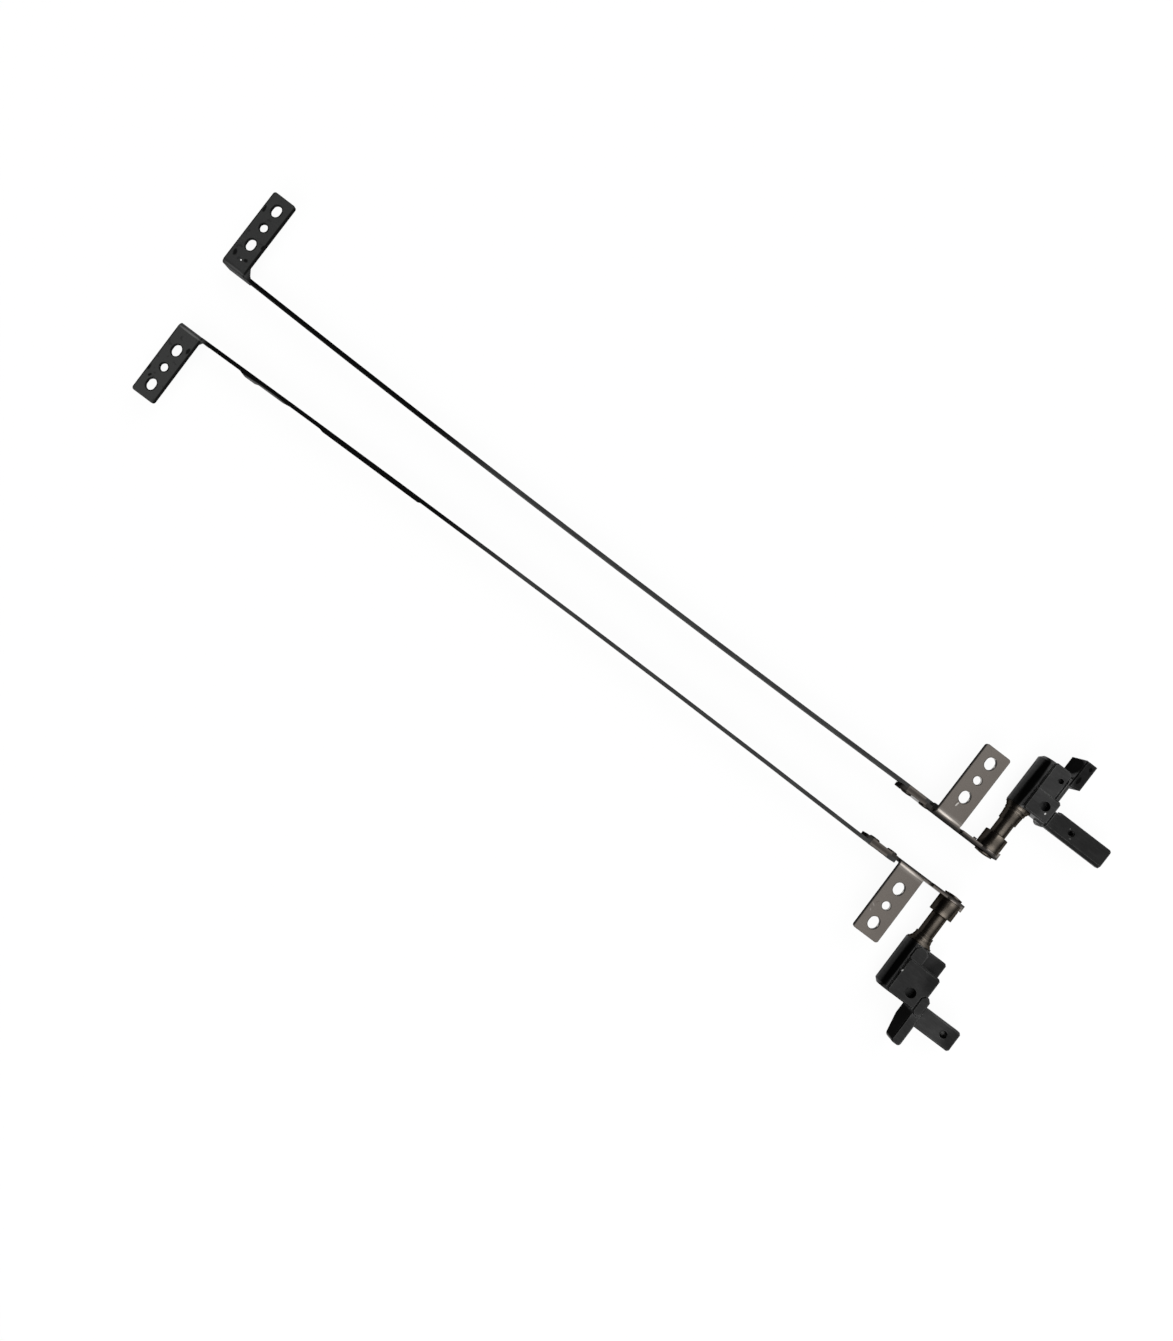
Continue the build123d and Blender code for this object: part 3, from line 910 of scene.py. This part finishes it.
@dataclass(frozen=True)
class CastPaint(Finish):
    """Black painted die casting: fine grain, dusty scuffs, paler edges that are partly rubbed paint
    and partly painted highlight, and painted shade in the valley beside the block and on walls.
    """

    fine_scale: float = 2.2
    rough_swing: float = 0.25
    relief: Band = (0.035, 0.4)
    scuff: Colour = (0.05, 0.05, 0.049)
    rubbed_and_highlit: Colour = (0.16, 0.16, 0.158)
    shadow: Colour = (0.001, 0.001, 0.001)
    chip: Colour = (0.42, 0.42, 0.41)
    gloss: float = 0.8
    gloss_swing: float = 0.5
    coat_rough: float = 0.3
    fine_rough: float = 0.6
    grain_scale: float = 8.0
    grain_relief: float = 0.55
    drag_stretch: Point = (0.5, 2.4, 1.0)
    drag_scale: float = 0.8
    drag_band: Band = (0.55, 0.72)
    drag_share: float = 0.35
    haze_band: Band = (0.42, 0.72)
    haze_share: float = 0.55
    flat_band: Band = (-1.7, -1.1)
    scuff_least: float = 0.5
    scuff_share: float = 0.7
    dark_share: float = 0.8
    dark_edge: float = 0.6
    dark_gloss: float = 0.95
    edge: float = 0.45
    edge_band: Band = (0.4, 0.62)
    edge_least: float = 0.35
    edge_share: float = 0.5
    edge_rough: float = 0.08
    marks: SidedMarks = ()
    specks: SidedMarks = ()
    plain_edges: SidedMarks = ()

    def sockets(self, sheet: NodeSheet, at: Place) -> dict:
        """Casting sockets; see the base class."""
        broad = sheet.noise(at.p, self.broad_scale, RICH_DETAIL)
        fine = sheet.noise(at.p, self.fine_scale, FULL_DETAIL, self.fine_rough)
        grain = sheet.noise(at.p, self.grain_scale)
        drag = sheet.noise(at.stretched(*self.drag_stretch), self.drag_scale, RICH_DETAIL)
        dragged = drag.step(*self.drag_band) * self.drag_share
        haze = broad.step(*self.haze_band) * self.haze_share + dragged
        flats = at.x.step(*self.flat_band)
        dusty = haze * flats * (self.scuff_least + fine * self.scuff_share)
        tone = sheet.mix(dusty, self.colour, self.scuff)
        # Painted shade: dark marks without coat in the valley beside the block and on walls, and
        # darker patches over parts of the block and legs.
        dark = at.cover(self.marks, fine, fine * 0.0)
        tone = sheet.mix(dark * self.dark_share, tone, self.shadow)
        # Paler edges: partly rubbed paint, partly painted highlight; left plain round the holes.
        rub_and_highlight = self.edge_least + broad.step(*self.edge_band) * self.edge_share
        rim = self.edges(sheet, self.edge) * flats * rub_and_highlight
        for mark in at.own(self.plain_edges):
            rim = rim * (1.0 - at.spot(mark, fine))
        tone = sheet.mix(rim * (1.0 - dark * self.dark_edge), tone, self.rubbed_and_highlit)
        for mark in at.own(self.specks):
            tone = sheet.mix(at.spot(mark, fine), tone, self.chip)
        gloss = self.gloss + drag.swing(self.gloss_swing)
        return {
            "Base Color": tone,
            "Roughness": self.rough + broad.swing(self.rough_swing) - rim * self.edge_rough,
            "Specular IOR Level": 0.0,
            "Coat Weight": gloss * (1.0 - dark * self.dark_gloss),
            "Coat Roughness": self.coat_rough,
            "Normal": self.bump(sheet, blend(grain, fine, self.grain_relief)),
        }


RAIL_OPENING = ((1.42, 1.68), (1.27, 1.25), 0.08, 0.1)
BRACKET_OPENING = ((1.32, 1.62), (1.06, 1.06), 0.01, 0.0)
RAIL_PAINT = RailPaint(
    "rail_paint",
    (0.019, 0.0195, 0.0195),
    0.46,
    # Smudges, and painted shade: the long thin marks darken the tab's edges, and the opening marks
    # below darken rings round its openings.
    marks=sided(
        Side.RIGHT,
        Mark(-226.0, 4.4, 0.55, 0.4, 20.0),
        Mark(-16.7, 1.4, 1.5, 1.2, 0.0, 0.2, 0.2),
        Mark(-229.3, 4.6, 0.5, 0.8, 20.0),
        Mark(-230.0, 17.0, 0.35, 0.9, 10.0),
        Mark(-224.6, 9.4, 0.35, 0.7, -10.0),
        Mark(-224.25, 12.0, 0.36, 15.0, 0.0, 0.4, 0.15),
        Mark(-230.6, 12.0, 0.3, 15.0, 0.0, 0.4, 0.15, 0.6),
    )
    + sided(
        Side.LEFT,
        Mark(-224.6, 5.6, 0.4, 0.8, 0.0),
        Mark(-223.8, 11.0, 0.36, 15.0, 0.0, 0.4, 0.15),
        Mark(-230.2, 11.0, 0.3, 15.0, 0.0, 0.4, 0.15, 0.6),
        Mark(-229.8, 14.0, 0.3, 0.8, 0.0),
        Mark(-228.6, 15.4, 0.3, 0.5, 30.0),
    )
    + opening_marks(Side.RIGHT, -227.3, 18.2, *RAIL_OPENING)
    + opening_marks(Side.LEFT, -226.9, 17.0, *RAIL_OPENING),
    # A pale speck, and thin pale lines that are painted highlights along the tab's bend and the
    # rail's edge.
    specks=sided(
        Side.RIGHT,
        Mark(-227.0, 3.9, 0.17, 0.17, 0.0, 0.3, 0.2),
        Mark(-227.2, 1.4, 3.0, 0.2, 0.0, 0.5, 0.3, 0.06),
    )
    + sided(
        Side.LEFT,
        Mark(-227.0, 1.75, 3.2, 0.26, 0.0, 0.5, 0.3, 0.1),
        Mark(-209.2, 2.26, 1.9, 0.34, -0.8, 0.6, 0.2, 0.12),
        Mark(-203.0, 1.88, 5.0, 0.3, -0.8, 0.6, 0.2, 0.14),
    ),
)
BLACK_NICKEL = PlatedSheet(
    "black_nickel",
    (0.158, 0.141, 0.127),
    0.26,
    marks=sided(
        Side.RIGHT,
        Mark(-13.1, 5.1, 0.3, 0.75, -11.0, 0.3, 0.4),
        Mark(-13.05, 5.8, 0.14, 0.4, -11.0, 0.3, 0.3),
    )
    + sided(Side.LEFT, Mark(-14.6, 11.5, 0.2, 0.5, 40.0)),
    scratches=sided(Side.RIGHT, Mark(-12.84, 4.87, 0.19, 0.6, -11.0, 0.3, 0.4))
    + sided(
        Side.LEFT,
        Mark(-15.1, 12.6, 0.5, 0.14, 35.0, 0.35, 0.9, 0.35),
        Mark(-14.9, 14.0, 0.35, 0.12, 60.0, 0.35, 0.9, 0.35),
    ),
    # Painted shade and light round the openings of the tab.
    slot_light_and_shade=opening_marks(Side.RIGHT, BRACKET_TAB_X, 17.3, *BRACKET_OPENING)
    + opening_marks(Side.LEFT, BRACKET_TAB_X, 16.1, *BRACKET_OPENING),
)
TURNED_STEEL = TurnedSteel("turned_steel", (0.1, 0.087, 0.073), 0.28)
RIVET_STEEL = TurnedSteel("rivet_steel", (0.075, 0.07, 0.065), 0.36, pale=(0.16, 0.15, 0.14))
SPRING_STEEL = TurnedSteel("spring_steel", (0.34, 0.33, 0.31), 0.3, pale=(0.5, 0.48, 0.45))
CAST_PAINT = CastPaint(
    "cast_paint",
    (0.002, 0.002, 0.002),
    0.46,
    scuff=(0.014, 0.014, 0.0138),
    # Painted shade in the valley beside the block and on walls, and darker patches over parts of the
    # block and legs.
    marks=sided(
        Side.RIGHT,
        Mark(6.9, 30.4, 0.5, 0.7, 20.0),
        Mark(6.2, 26.6, 0.5, 1.2, 0.0),
        Mark(4.7, 29.6, 0.45, 2.6, 0.0, 0.2, 0.3),
        Mark(-1.75, 20.4, 0.8, 7.6, 0.0, 0.25, 0.1),
        Mark(6.9, 28.6, 1.9, 4.6, 0.0, 0.2, 0.2, 0.75),
        Mark(16.4, 16.0, 9.4, 4.2, 0.0, 0.15, 0.3, 0.5),
        Mark(1.4, 15.2, 2.4, 1.6, 0.0, 0.4, 0.4, 0.3),
    )
    + sided(
        Side.LEFT,
        Mark(7.0, 31.5, 0.35, 4.6, 0.0, 0.15, 0.2),
        Mark(-2.0, 20.4, 0.65, 7.6, 0.0, 0.25, 0.1),
        Mark(3.2, 20.6, 9.0, 8.6, 0.0, 0.2, 0.3, 0.34),
        Mark(7.2, 17.6, 2.6, 5.6, 0.0, 0.5, 0.4, 0.6),
        Mark(20.6, 27.5, 3.2, 3.4, 0.0, 0.5, 0.4, 0.56),
        Mark(8.5, 32.6, 1.7, 4.2, 0.0, 0.3, 0.3, 0.42),
    ),
    specks=sided(
        Side.RIGHT,
        Mark(4.6, 15.6, 0.2, 0.26, 0.0, 0.3, 0.6),
        Mark(12.5, 16.7, 0.12, 0.2, 20.0, 0.5, 0.9, 0.16),
        Mark(13.9, 14.8, 0.26, 0.12, 8.0, 0.5, 0.9, 0.16),
    )
    + sided(
        Side.LEFT,
        Mark(-0.6, 21.0, 0.14, 0.3, 10.0, 0.3, 0.6),
        Mark(17.75, 27.45, 0.42, 0.42, 0.0, 0.4, 0.5, 0.5),
    ),
    # Places round the holes where the edges are not paled.
    plain_edges=sided(
        Side.RIGHT,
        Mark(3.6, 17.0, 1.9, 1.9, 0.0, 0.1, 0.1),
        Mark(3.0, 24.0, 1.3, 1.3, 0.0, 0.1, 0.1),
        Mark(13.4, 16.0, 1.5, 1.5, 0.0, 0.1, 0.1),
    )
    + sided(
        Side.LEFT,
        Mark(4.2, 24.1, 2.0, 2.0, 0.0, 0.1, 0.1),
        Mark(17.3, 27.5, 1.6, 1.6, 0.0, 0.1, 0.1),
    ),
)


def make_piece(name: str, surface: Surface, frame: HingeFrame, body: Body) -> bpy.types.Object:
    """Puts a surface into the scene as a piece of the object.

    Args:
        name: name of the piece.
        surface: its points in the hinge's own frame.
        frame: the hinge that carries it.
        body: the body it rides on.

    Returns:
        The new object, smooth, with its poles closed and its faces outwards.
    """
    mesh = bpy.data.meshes.new(name)
    mesh.from_pydata(frame.place(surface.points).tolist(), [], surface.faces.tolist())
    shell = bmesh.new()
    shell.from_mesh(mesh)
    bmesh.ops.remove_doubles(shell, verts=shell.verts, dist=PIECE_MERGE)
    bmesh.ops.holes_fill(shell, edges=shell.edges, sides=0)
    bmesh.ops.recalc_face_normals(shell, faces=shell.faces)
    shell.to_mesh(mesh)
    shell.free()
    mesh.polygons.foreach_set("use_smooth", np.ones(len(mesh.polygons), dtype=bool))
    made = bpy.data.objects.new(name, mesh)
    bpy.context.scene.collection.objects.link(made)
    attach(made, body.value)
    LOG.info("piece %s, %d faces", name, len(mesh.polygons))
    return made


def ease_edges(node: bpy.types.Object, width: float, least_degrees: float = 35.0) -> None:
    """Rounds the sharp edges of a solid a little.

    Args:
        node: the solid's object.
        width: width of the rounding in millimetres.
        least_degrees: angle from which an edge counts as sharp.
    """
    weld = node.modifiers.new("seams", "WELD")
    weld.merge_threshold = SOLID_MERGE
    soft = node.modifiers.new("edges", "BEVEL")
    soft.width = width * MM
    soft.segments = 2
    soft.limit_method = "ANGLE"
    soft.angle_limit = math.radians(least_degrees)
    soft.harden_normals = True


@dataclass
class HingeHalf:
    """What every sub-assembly of one hinge shares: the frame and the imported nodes."""

    frame: HingeFrame
    nodes: dict[str, bpy.types.Object]

    def dress(self, finish: Finish, parts: Sequence[str], ease: float = 0.0) -> bpy.types.Material:
        """Gives solids their finish.

        Args:
            finish: the finish.
            parts: names of the solids without the side.
            ease: rounding of their sharp edges, none at 0.

        Returns:
            The material, for pieces that share it.
        """
        made = finish.material(self.frame)
        for part in parts:
            node = self.nodes[self.frame.named(part)]
            node.data.materials.clear()
            node.data.materials.append(made)
            if ease > 0.0:
                ease_edges(node, ease)
            LOG.info("solid %s in %s", node.name, finish.name)
        return made

    def add(
        self, part: str, surface: Surface, body: Body, slot: str, look: bpy.types.Material
    ) -> None:
        """Adds one worked-out piece.

        Args:
            part: its name without the side.
            surface: its shape.
            body: the body it rides on.
            slot: not used.
            look: its material.
        """
        made = make_piece(self.frame.named(part), surface, self.frame, body)
        made.data.materials.append(look)


@dataclass(frozen=True)
class TabShape:
    """Openings of one folded tab: two slots and a middle hole."""

    x: float
    y_face: float
    sheet: float
    reach: float
    slot_radius: float
    slot_half: float = 0.3
    slot_in: float = 3.6
    pilot_radius: float = 1.05
    roll: float = 0.16
    hug: float = 0.45
    proud: float = 0.035

    def rims(self) -> Surface:
        """Rolled edges round the openings, above and below.

        Returns:
            The rims of both slots and of the middle hole.
        """
        far = self.y_face + self.reach - self.slot_in
        middle = far - SLOT_PITCH / 2
        rims = []
        for level in (STRIP_H, STRIP_H - self.sheet):
            loop = rim_section(self.roll, self.hug, level, self.proud)
            for y in (far, far - SLOT_PITCH):
                rims.append(slot_rim(self.x, y, self.slot_radius, self.slot_half, loop))
            rims.append(slot_rim(self.x, middle, self.pilot_radius, 0.0, loop))
        return joined(rims)


@dataclass
class ArmSheet(HingeHalf):
    """Rail and bracket: two folded tabs with slots, and the lap between them."""

    reach: float
    rail_x: float
    bracket_x: float = BRACKET_TAB_X
    bracket_sheet: float = 0.9
    rail_sheet: float = 0.9
    rail_slot_radius: float = 1.2
    bracket_slot_radius: float = 1.3
    rail_ease: float = 0.05
    bracket_ease: float = 0.07
    toe_middle: Point = (-16.5, 1.4, 5.85)
    toe_half: Point = (0.64, 0.64, 0.5)
    toe_power: float = 0.22

    def tab(self, x: float, y_face: float, sheet: float, slot_radius: float) -> TabShape:
        """Openings of one of the two tabs, which reach equally far."""
        return TabShape(x, y_face, sheet, self.reach, slot_radius)

    def build(self) -> None:
        """Dresses rail and bracket, rolls the edges of their openings and adds the right toe."""
        body = Body.arm(self.frame.side)
        paint = self.dress(RAIL_PAINT, ["rail"], self.rail_ease)
        plate = self.dress(BLACK_NICKEL, ["bracket"], self.bracket_ease)
        rail = self.tab(self.rail_x, self.bracket_sheet, self.rail_sheet, self.rail_slot_radius)
        self.add("rail_tab_rims", rail.rims(), body, "black_rail", paint)
        bracket = self.tab(self.bracket_x, 0.0, self.bracket_sheet, self.bracket_slot_radius)
        self.add("bracket_tab_rims", bracket.rims(), body, "gunmetal", plate)
        if self.frame.side is Side.RIGHT:
            toe = rounded_block(self.toe_middle, self.toe_half, self.toe_power)
            self.add("rail_toe", toe, body, "black_rail", paint)


@dataclass
class LapRivets(HingeHalf):
    """Two rivets through the lap, with low domed heads outside and peened ends inside."""

    at_x: tuple[float, float] = (-23.6, -18.4)
    level: float = 4.25
    head_face: float = 0.02
    head_radius: float = 1.4
    head_rise: float = 0.42
    end_face: float = 1.78
    end_radius: float = 0.85
    end_rise: float = 0.09
    dip_share: float = 0.12
    dip_radius: float = 0.35
    squareness: int = 8

    def dome(self, x: float, face: float, radius: float, rise: float) -> Surface:
        """Domed head with a shallow peened dip in its middle.

        At radius r it stands rise (sqrt(1 - (r / R)^n) - dip exp(-(r / d)^2)) off its face,
        where n is the squareness, and dip and d are the dip's share and radius.

        Args:
            x: place along the strip.
            face: y of its flat side.
            radius: its outer radius R.
            rise: how far it stands off, with its sign.

        Returns:
            The closed dome.
        """
        rows = 22
        r = radius * np.sin(np.linspace(0.0, np.pi / 2, rows))
        dip = self.dip_share * np.exp(-((r / self.dip_radius) ** 2))
        y = face + rise * (np.sqrt(1.0 - (r / radius) ** self.squareness) - dip)
        closed = np.concatenate([np.stack([r, y], axis=-1), [[0.0, face]]])
        return turned_surface(closed, x, self.level, RIVET_STEPS)

    def build(self) -> None:
        """Dresses the rivets and adds their domes."""
        look = self.dress(RIVET_STEEL, ["lap_rivets"])
        domes = []
        for x in self.at_x:
            domes.append(self.dome(x, self.head_face, self.head_radius, -self.head_rise))
            domes.append(self.dome(x, self.end_face, self.end_radius, self.end_rise))
        body = Body.arm(self.frame.side)
        self.add("rivet_domes", joined(domes), body, "rivet_steel", look)


@dataclass
class PivotShaft(HingeHalf):
    """Shaft, collar, mouth bush and washer, and what sits inside the barrel."""

    flare_length: float
    flare_start: float = 2.3
    flare_end: float = 2.98
    flare_inside: float = 2.2
    flare_power: float = 2.6
    groove_back: Band = (0.75, 1.55)
    groove_depth: float = 0.13
    groove_width: float = 0.13
    crown_radius: float = 2.32
    crown_face: float = -0.46
    crown_rise: float = 0.26
    ring_depth: float = 0.025
    ring_count: int = 5
    collar_ease: float = 0.2
    turned_ease: float = 0.06

    def crown(self) -> Surface:
        """Peened end of the shaft: a flat dome with rings left by the riveting tool.

        At share q = r / R of its radius the face lies rise (1 - q^2) out, less
        depth (1 + cos(2 pi n q)) (1 - q^4).

        Returns:
            The closed crown.
        """
        rows = 48
        radius = np.linspace(0.0, self.crown_radius, rows)
        share = radius / self.crown_radius
        rings = self.ring_depth * (1.0 + np.cos(2.0 * np.pi * self.ring_count * share))
        y = self.crown_face - self.crown_rise * (1.0 - share**2) + rings * (1.0 - share**4)
        closed = np.concatenate([np.stack([radius, y], axis=-1), [[0.0, self.crown_face]]])
        return turned_surface(closed, 0.0, AXIS_Z, TURN_STEPS)

    def flare(self) -> Surface:
        """Trumpet shape of the mouth bush with two turned grooves near the mouth.

        With s from 0 at its front to 1 at the washer, the radius is start + (end - start) s^power,
        less depth exp(-(d / width)^2) at distance d from each groove, and never under start.

        Returns:
            The closed trumpet.
        """
        rows = 90
        s = np.linspace(0.0, 1.0, rows)
        y = FLANGE_Y - self.flare_length * (1.0 - s)
        r = self.flare_start + (self.flare_end - self.flare_start) * s**self.flare_power
        for back in self.groove_back:
            away = (FLANGE_Y - back - y) / self.groove_width
            r = r - self.groove_depth * np.exp(-(away**2))
        r = np.maximum(r, self.flare_start)
        outer = np.stack([r, y], axis=-1)
        inner = np.array([[self.flare_inside, FLANGE_Y], [self.flare_inside, y[0]]])
        loop = np.concatenate([outer, inner, outer[:1]])
        return turned_surface(loop, 0.0, AXIS_Z, TURN_STEPS)

    def build(self) -> None:
        """Dresses the turned pieces and the springs inside."""
        body = Body.arm(self.frame.side)
        self.dress(TURNED_STEEL, ["collar"], self.collar_ease)
        turned = ["shaft", "mouth_bush", "thrust_washer"]
        look = self.dress(TURNED_STEEL, turned, self.turned_ease)
        self.dress(SPRING_STEEL, ["retaining_ring", "friction_clip_1", "friction_clip_2"])
        self.add("tail_crown", self.crown(), body, "shaft_steel", look)
        self.add("mouth_flare", self.flare(), Body.BASE, "shaft_steel", look)


@dataclass(frozen=True)
class Hole:
    """A screw or pin hole of a housing: its middle, radius and the height of its face."""

    x: float
    y: float
    radius: float
    level: float


HOLES = {
    Side.RIGHT: (Hole(3.6, 17.0, 1.2, 7.95), Hole(3.0, 24.0, 0.65, 7.8), Hole(13.4, 16.0, 0.8, 5.5)),
    Side.LEFT: (Hole(4.2, 24.1, 1.3, 7.8), Hole(17.3, 27.5, 0.95, 5.5)),
}


@dataclass
class CastHousing(HingeHalf):
    """Die-cast housing with its parting flash and the edges of its screw holes."""

    barrel_radius: float = 3.35
    flash_height: float = 0.09
    flash_width: float = 0.16
    flash_sink: float = 0.02
    flash_lead: float = 0.6
    flash_short: float = 1.9
    waver: float = 0.03
    waver_rate: float = 9.0
    rim_roll: float = 0.14
    rim_hug: float = 0.5
    rim_proud: float = 0.04
    thread_pitch: float = 0.4
    thread_span: Band = (3.9, 5.35)
    ease: float = 0.1

    def flash(self) -> Surface:
        """Thin ridge where the two halves of the mould met, along the barrel's free side.

        It runs along the barrel at the height of the shaft plus waver sin(rate s), with s from
        0 at its start to 1 at its end.

        Returns:
            The ridge.
        """
        rows = 60
        across, out = (0.0, 0.0, 1.0), (-1.0, 0.0, 0.0)
        s = np.linspace(0.0, 1.0, rows)
        y = MOUTH_Y + self.flash_lead + s * (BACK_Y - MOUTH_Y - self.flash_short)
        x = np.full_like(s, self.flash_sink - self.barrel_radius)
        z = AXIS_Z + self.waver * np.sin(self.waver_rate * s)
        path = np.stack([x, y, z], axis=-1)
        return swept_ridge(path, across, out, self.flash_width, self.flash_height)

    def hole_rim(self, hole: Hole) -> Surface:
        """Low raised ring of paint and metal round a hole.

        Args:
            hole: the hole.

        Returns:
            The closed ring.
        """
        section = rim_section(self.rim_roll, self.rim_hug, hole.level, self.rim_proud)
        return slot_rim(hole.x, hole.y, hole.radius, 0.0, section)

    def build(self) -> None:
        """Dresses the casting and adds flash, hole rims and the tapped hole's thread."""
        look = self.dress(CAST_PAINT, ["housing"], self.ease)
        self.add("parting_flash", self.flash(), Body.BASE, "cast_black", look)
        holes = HOLES[self.frame.side]
        rims = joined([self.hole_rim(hole) for hole in holes])
        self.add("hole_rims", rims, Body.BASE, "cast_black", look)
        if self.frame.side is Side.RIGHT:
            leg = holes[-1]
            thread = thread_ridge(leg.x, leg.y, leg.radius, self.thread_pitch, *self.thread_span)
            self.add("leg_thread", thread, Body.BASE, "cast_black", look)


@dataclass(frozen=True)
class SoftBox:
    """A soft lamp: centre and aim in metres, size and radiance."""

    name: str
    centre: Point
    aim: Point
    width: float
    height: float
    radiance: float

    def build(self) -> None:
        """Adds the lamp, out of the camera's sight."""
        lamp = bpy.data.lights.new(self.name, "AREA")
        lamp.shape = "RECTANGLE"
        lamp.size = self.width
        lamp.size_y = self.height
        lamp.energy = self.radiance * math.pi * self.width * self.height
        made = bpy.data.objects.new(self.name, lamp)
        made.location = self.centre
        away = np.array(self.centre) - np.array(self.aim)
        made.rotation_euler = (
            math.atan2(math.hypot(away[0], away[1]), away[2]),
            0.0,
            math.atan2(away[0], -away[1]),
        )
        made.visible_camera = False
        bpy.context.scene.collection.objects.link(made)


@dataclass(frozen=True)
class PhotoCamera:
    """Camera straight above the pair, turned as the photograph is; its clips are in metres."""

    foot: tuple[float, float] = (-102.22, -23.58)
    height: float = 286.4
    turn: float = 37.5
    focal_px: float = 1176.0
    image_height_px: float = 1341.0
    sensor: float = 24.0
    clips: Band = (0.01, 50.0)

    def build(self, frame: HingeFrame) -> None:
        """Adds the camera over its foot point, counted from the right hinge."""
        data = bpy.data.cameras.new("photo_camera")
        data.sensor_fit = "VERTICAL"
        data.sensor_height = self.sensor
        data.lens = self.sensor * self.focal_px / self.image_height_px
        data.clip_start, data.clip_end = self.clips
        made = bpy.data.objects.new("photo_camera", data)
        over = frame.place(np.array([[*self.foot, self.height]]))[0]
        made.location = over.tolist()
        made.rotation_euler = (0.0, 0.0, math.radians(self.turn))
        bpy.context.scene.collection.objects.link(made)
        bpy.context.scene.camera = made


@dataclass(frozen=True)
class Studio:
    """White table, soft lamps and the dim room with its bright ceiling.

    The bands of the ceiling and of its brighter sides are directions from -1 to 1.
    """

    table_size: float = 6.0
    table_sink: float = 0.00002
    table_white: Colour = (0.9, 0.9, 0.9)
    table_dim: Colour = (0.3, 0.3, 0.3)
    glow: float = 0.945
    mirrored: float = 0.6
    ceiling_bright: float = 0.9
    near_gain: float = 2.0
    far_gain: float = 0.9
    room_dim: float = 0.02
    ceiling_start: Band = (-0.36, -0.06)
    ceiling_end: Band = (0.95, 0.5)
    ceiling_rise: Band = (0.0, 0.2)
    near_start: Band = (-0.14, -0.3)
    near_end: Band = (-0.75, -0.5)
    far_start: Band = (0.16, 0.4)
    lamps: tuple[SoftBox, ...] = (
        SoftBox("near_lamp", (0.3, -1.0, 1.1), (0.05, 0.0, 0.0), 0.9, 0.7, 3.2),
        SoftBox("far_lamp", (0.3, 1.0, 1.1), (0.05, 0.0, 0.0), 0.9, 0.7, 2.4),
    )

    def room(self) -> None:
        """Dim room under a bright ceiling that leaves the rail end in the dark.

        The ceiling starts just past the zenith and fades towards the hinge end, and is
        brighter to both sides of the rails. The camera itself sees plain white.
        """
        world = bpy.data.worlds.new("room")
        world.use_nodes = True
        bpy.context.scene.world = world
        sheet = NodeSheet(world.node_tree)
        way = sheet.node("ShaderNodeTexCoord", {}, {}, "Generated")
        x, y, z = (sheet.node("ShaderNodeSeparateXYZ", {}, {0: way}, axis) for axis in "XYZ")
        ceiling = x.step(*self.ceiling_start) * x.step(*self.ceiling_end) * z.step(*self.ceiling_rise)
        near = y.step(*self.near_start) * y.step(*self.near_end)
        sides = 1.0 + near * self.near_gain + y.step(*self.far_start) * self.far_gain
        tone = sheet.mix(ceiling, (self.room_dim,) * 3, (self.ceiling_bright,) * 3)
        direct = sheet.node("ShaderNodeLightPath", {}, {}, "Is Camera Ray")
        tone = sheet.mix(direct, tone, (1.0, 1.0, 1.0))
        level = sides + direct * (1.0 - sides)
        back = sheet.node("ShaderNodeBackground", {}, {"Color": tone, "Strength": level})
        sheet.node("ShaderNodeOutputWorld", {}, {"Surface": back})

    def table(self) -> None:
        """Table seen white with a faint shadow, less bright in gloss and dim elsewhere."""
        half = self.table_size / 2
        corner = np.array([[-1, -1], [1, -1], [1, 1], [-1, 1]]) * half
        points = np.column_stack([corner, np.full(len(corner), -self.table_sink)])
        mesh = bpy.data.meshes.new("table")
        mesh.from_pydata(points.tolist(), [], [[0, 1, 2, 3]])
        made = bpy.data.objects.new("table", mesh)
        bpy.context.scene.collection.objects.link(made)
        look = bpy.data.materials.new("table_white")
        look.use_nodes = True
        sheet = NodeSheet(look.node_tree)
        direct = sheet.node("ShaderNodeLightPath", {}, {}, "Is Camera Ray")
        gloss = sheet.node("ShaderNodeLightPath", {}, {}, "Is Glossy Ray")
        seen = direct.most(gloss * self.mirrored)
        lit = sheet.node("ShaderNodeBsdfDiffuse", {}, {"Color": (*self.table_white, 1.0)})
        dim = sheet.node("ShaderNodeBsdfDiffuse", {}, {"Color": (*self.table_dim, 1.0)})
        white = sheet.node("ShaderNodeEmission", {}, {"Strength": 1.0})
        shown = sheet.node("ShaderNodeMixShader", {}, {0: self.glow, 1: lit, 2: white})
        both = sheet.node("ShaderNodeMixShader", {}, {0: seen, 1: dim, 2: shown})
        sheet.node("ShaderNodeOutputMaterial", {}, {"Surface": both})
        mesh.materials.append(look)

    def build(self) -> None:
        """Builds room, table and lamps and sets plain colours for the picture."""
        self.room()
        self.table()
        for lamp in self.lamps:
            lamp.build()
        bpy.context.scene.view_settings.view_transform = "Standard"


def main() -> None:
    """Loads the solids and builds both hinges, the studio and the camera."""
    logging.basicConfig(level=logging.INFO, format="%(name)s: %(message)s")
    for old in list(bpy.data.objects):
        bpy.data.objects.remove(old)
    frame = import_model()
    joints = {joint["name"]: joint for joint in frame["joints"]}
    frames = {side: HingeFrame.from_joint(side, joints[f"{side.value}_fold"]) for side in Side}
    for side, place in frames.items():
        nodes = frame["nodes"]
        ArmSheet(place, nodes, TAB_REACH[side], RAIL_TAB_X[side]).build()
        LapRivets(place, nodes).build()
        PivotShaft(place, nodes, FLARE_LENGTH[side]).build()
        CastHousing(place, nodes).build()
    Studio().build()
    PhotoCamera().build(frames[Side.RIGHT])


if __name__ == "__main__":
    main()
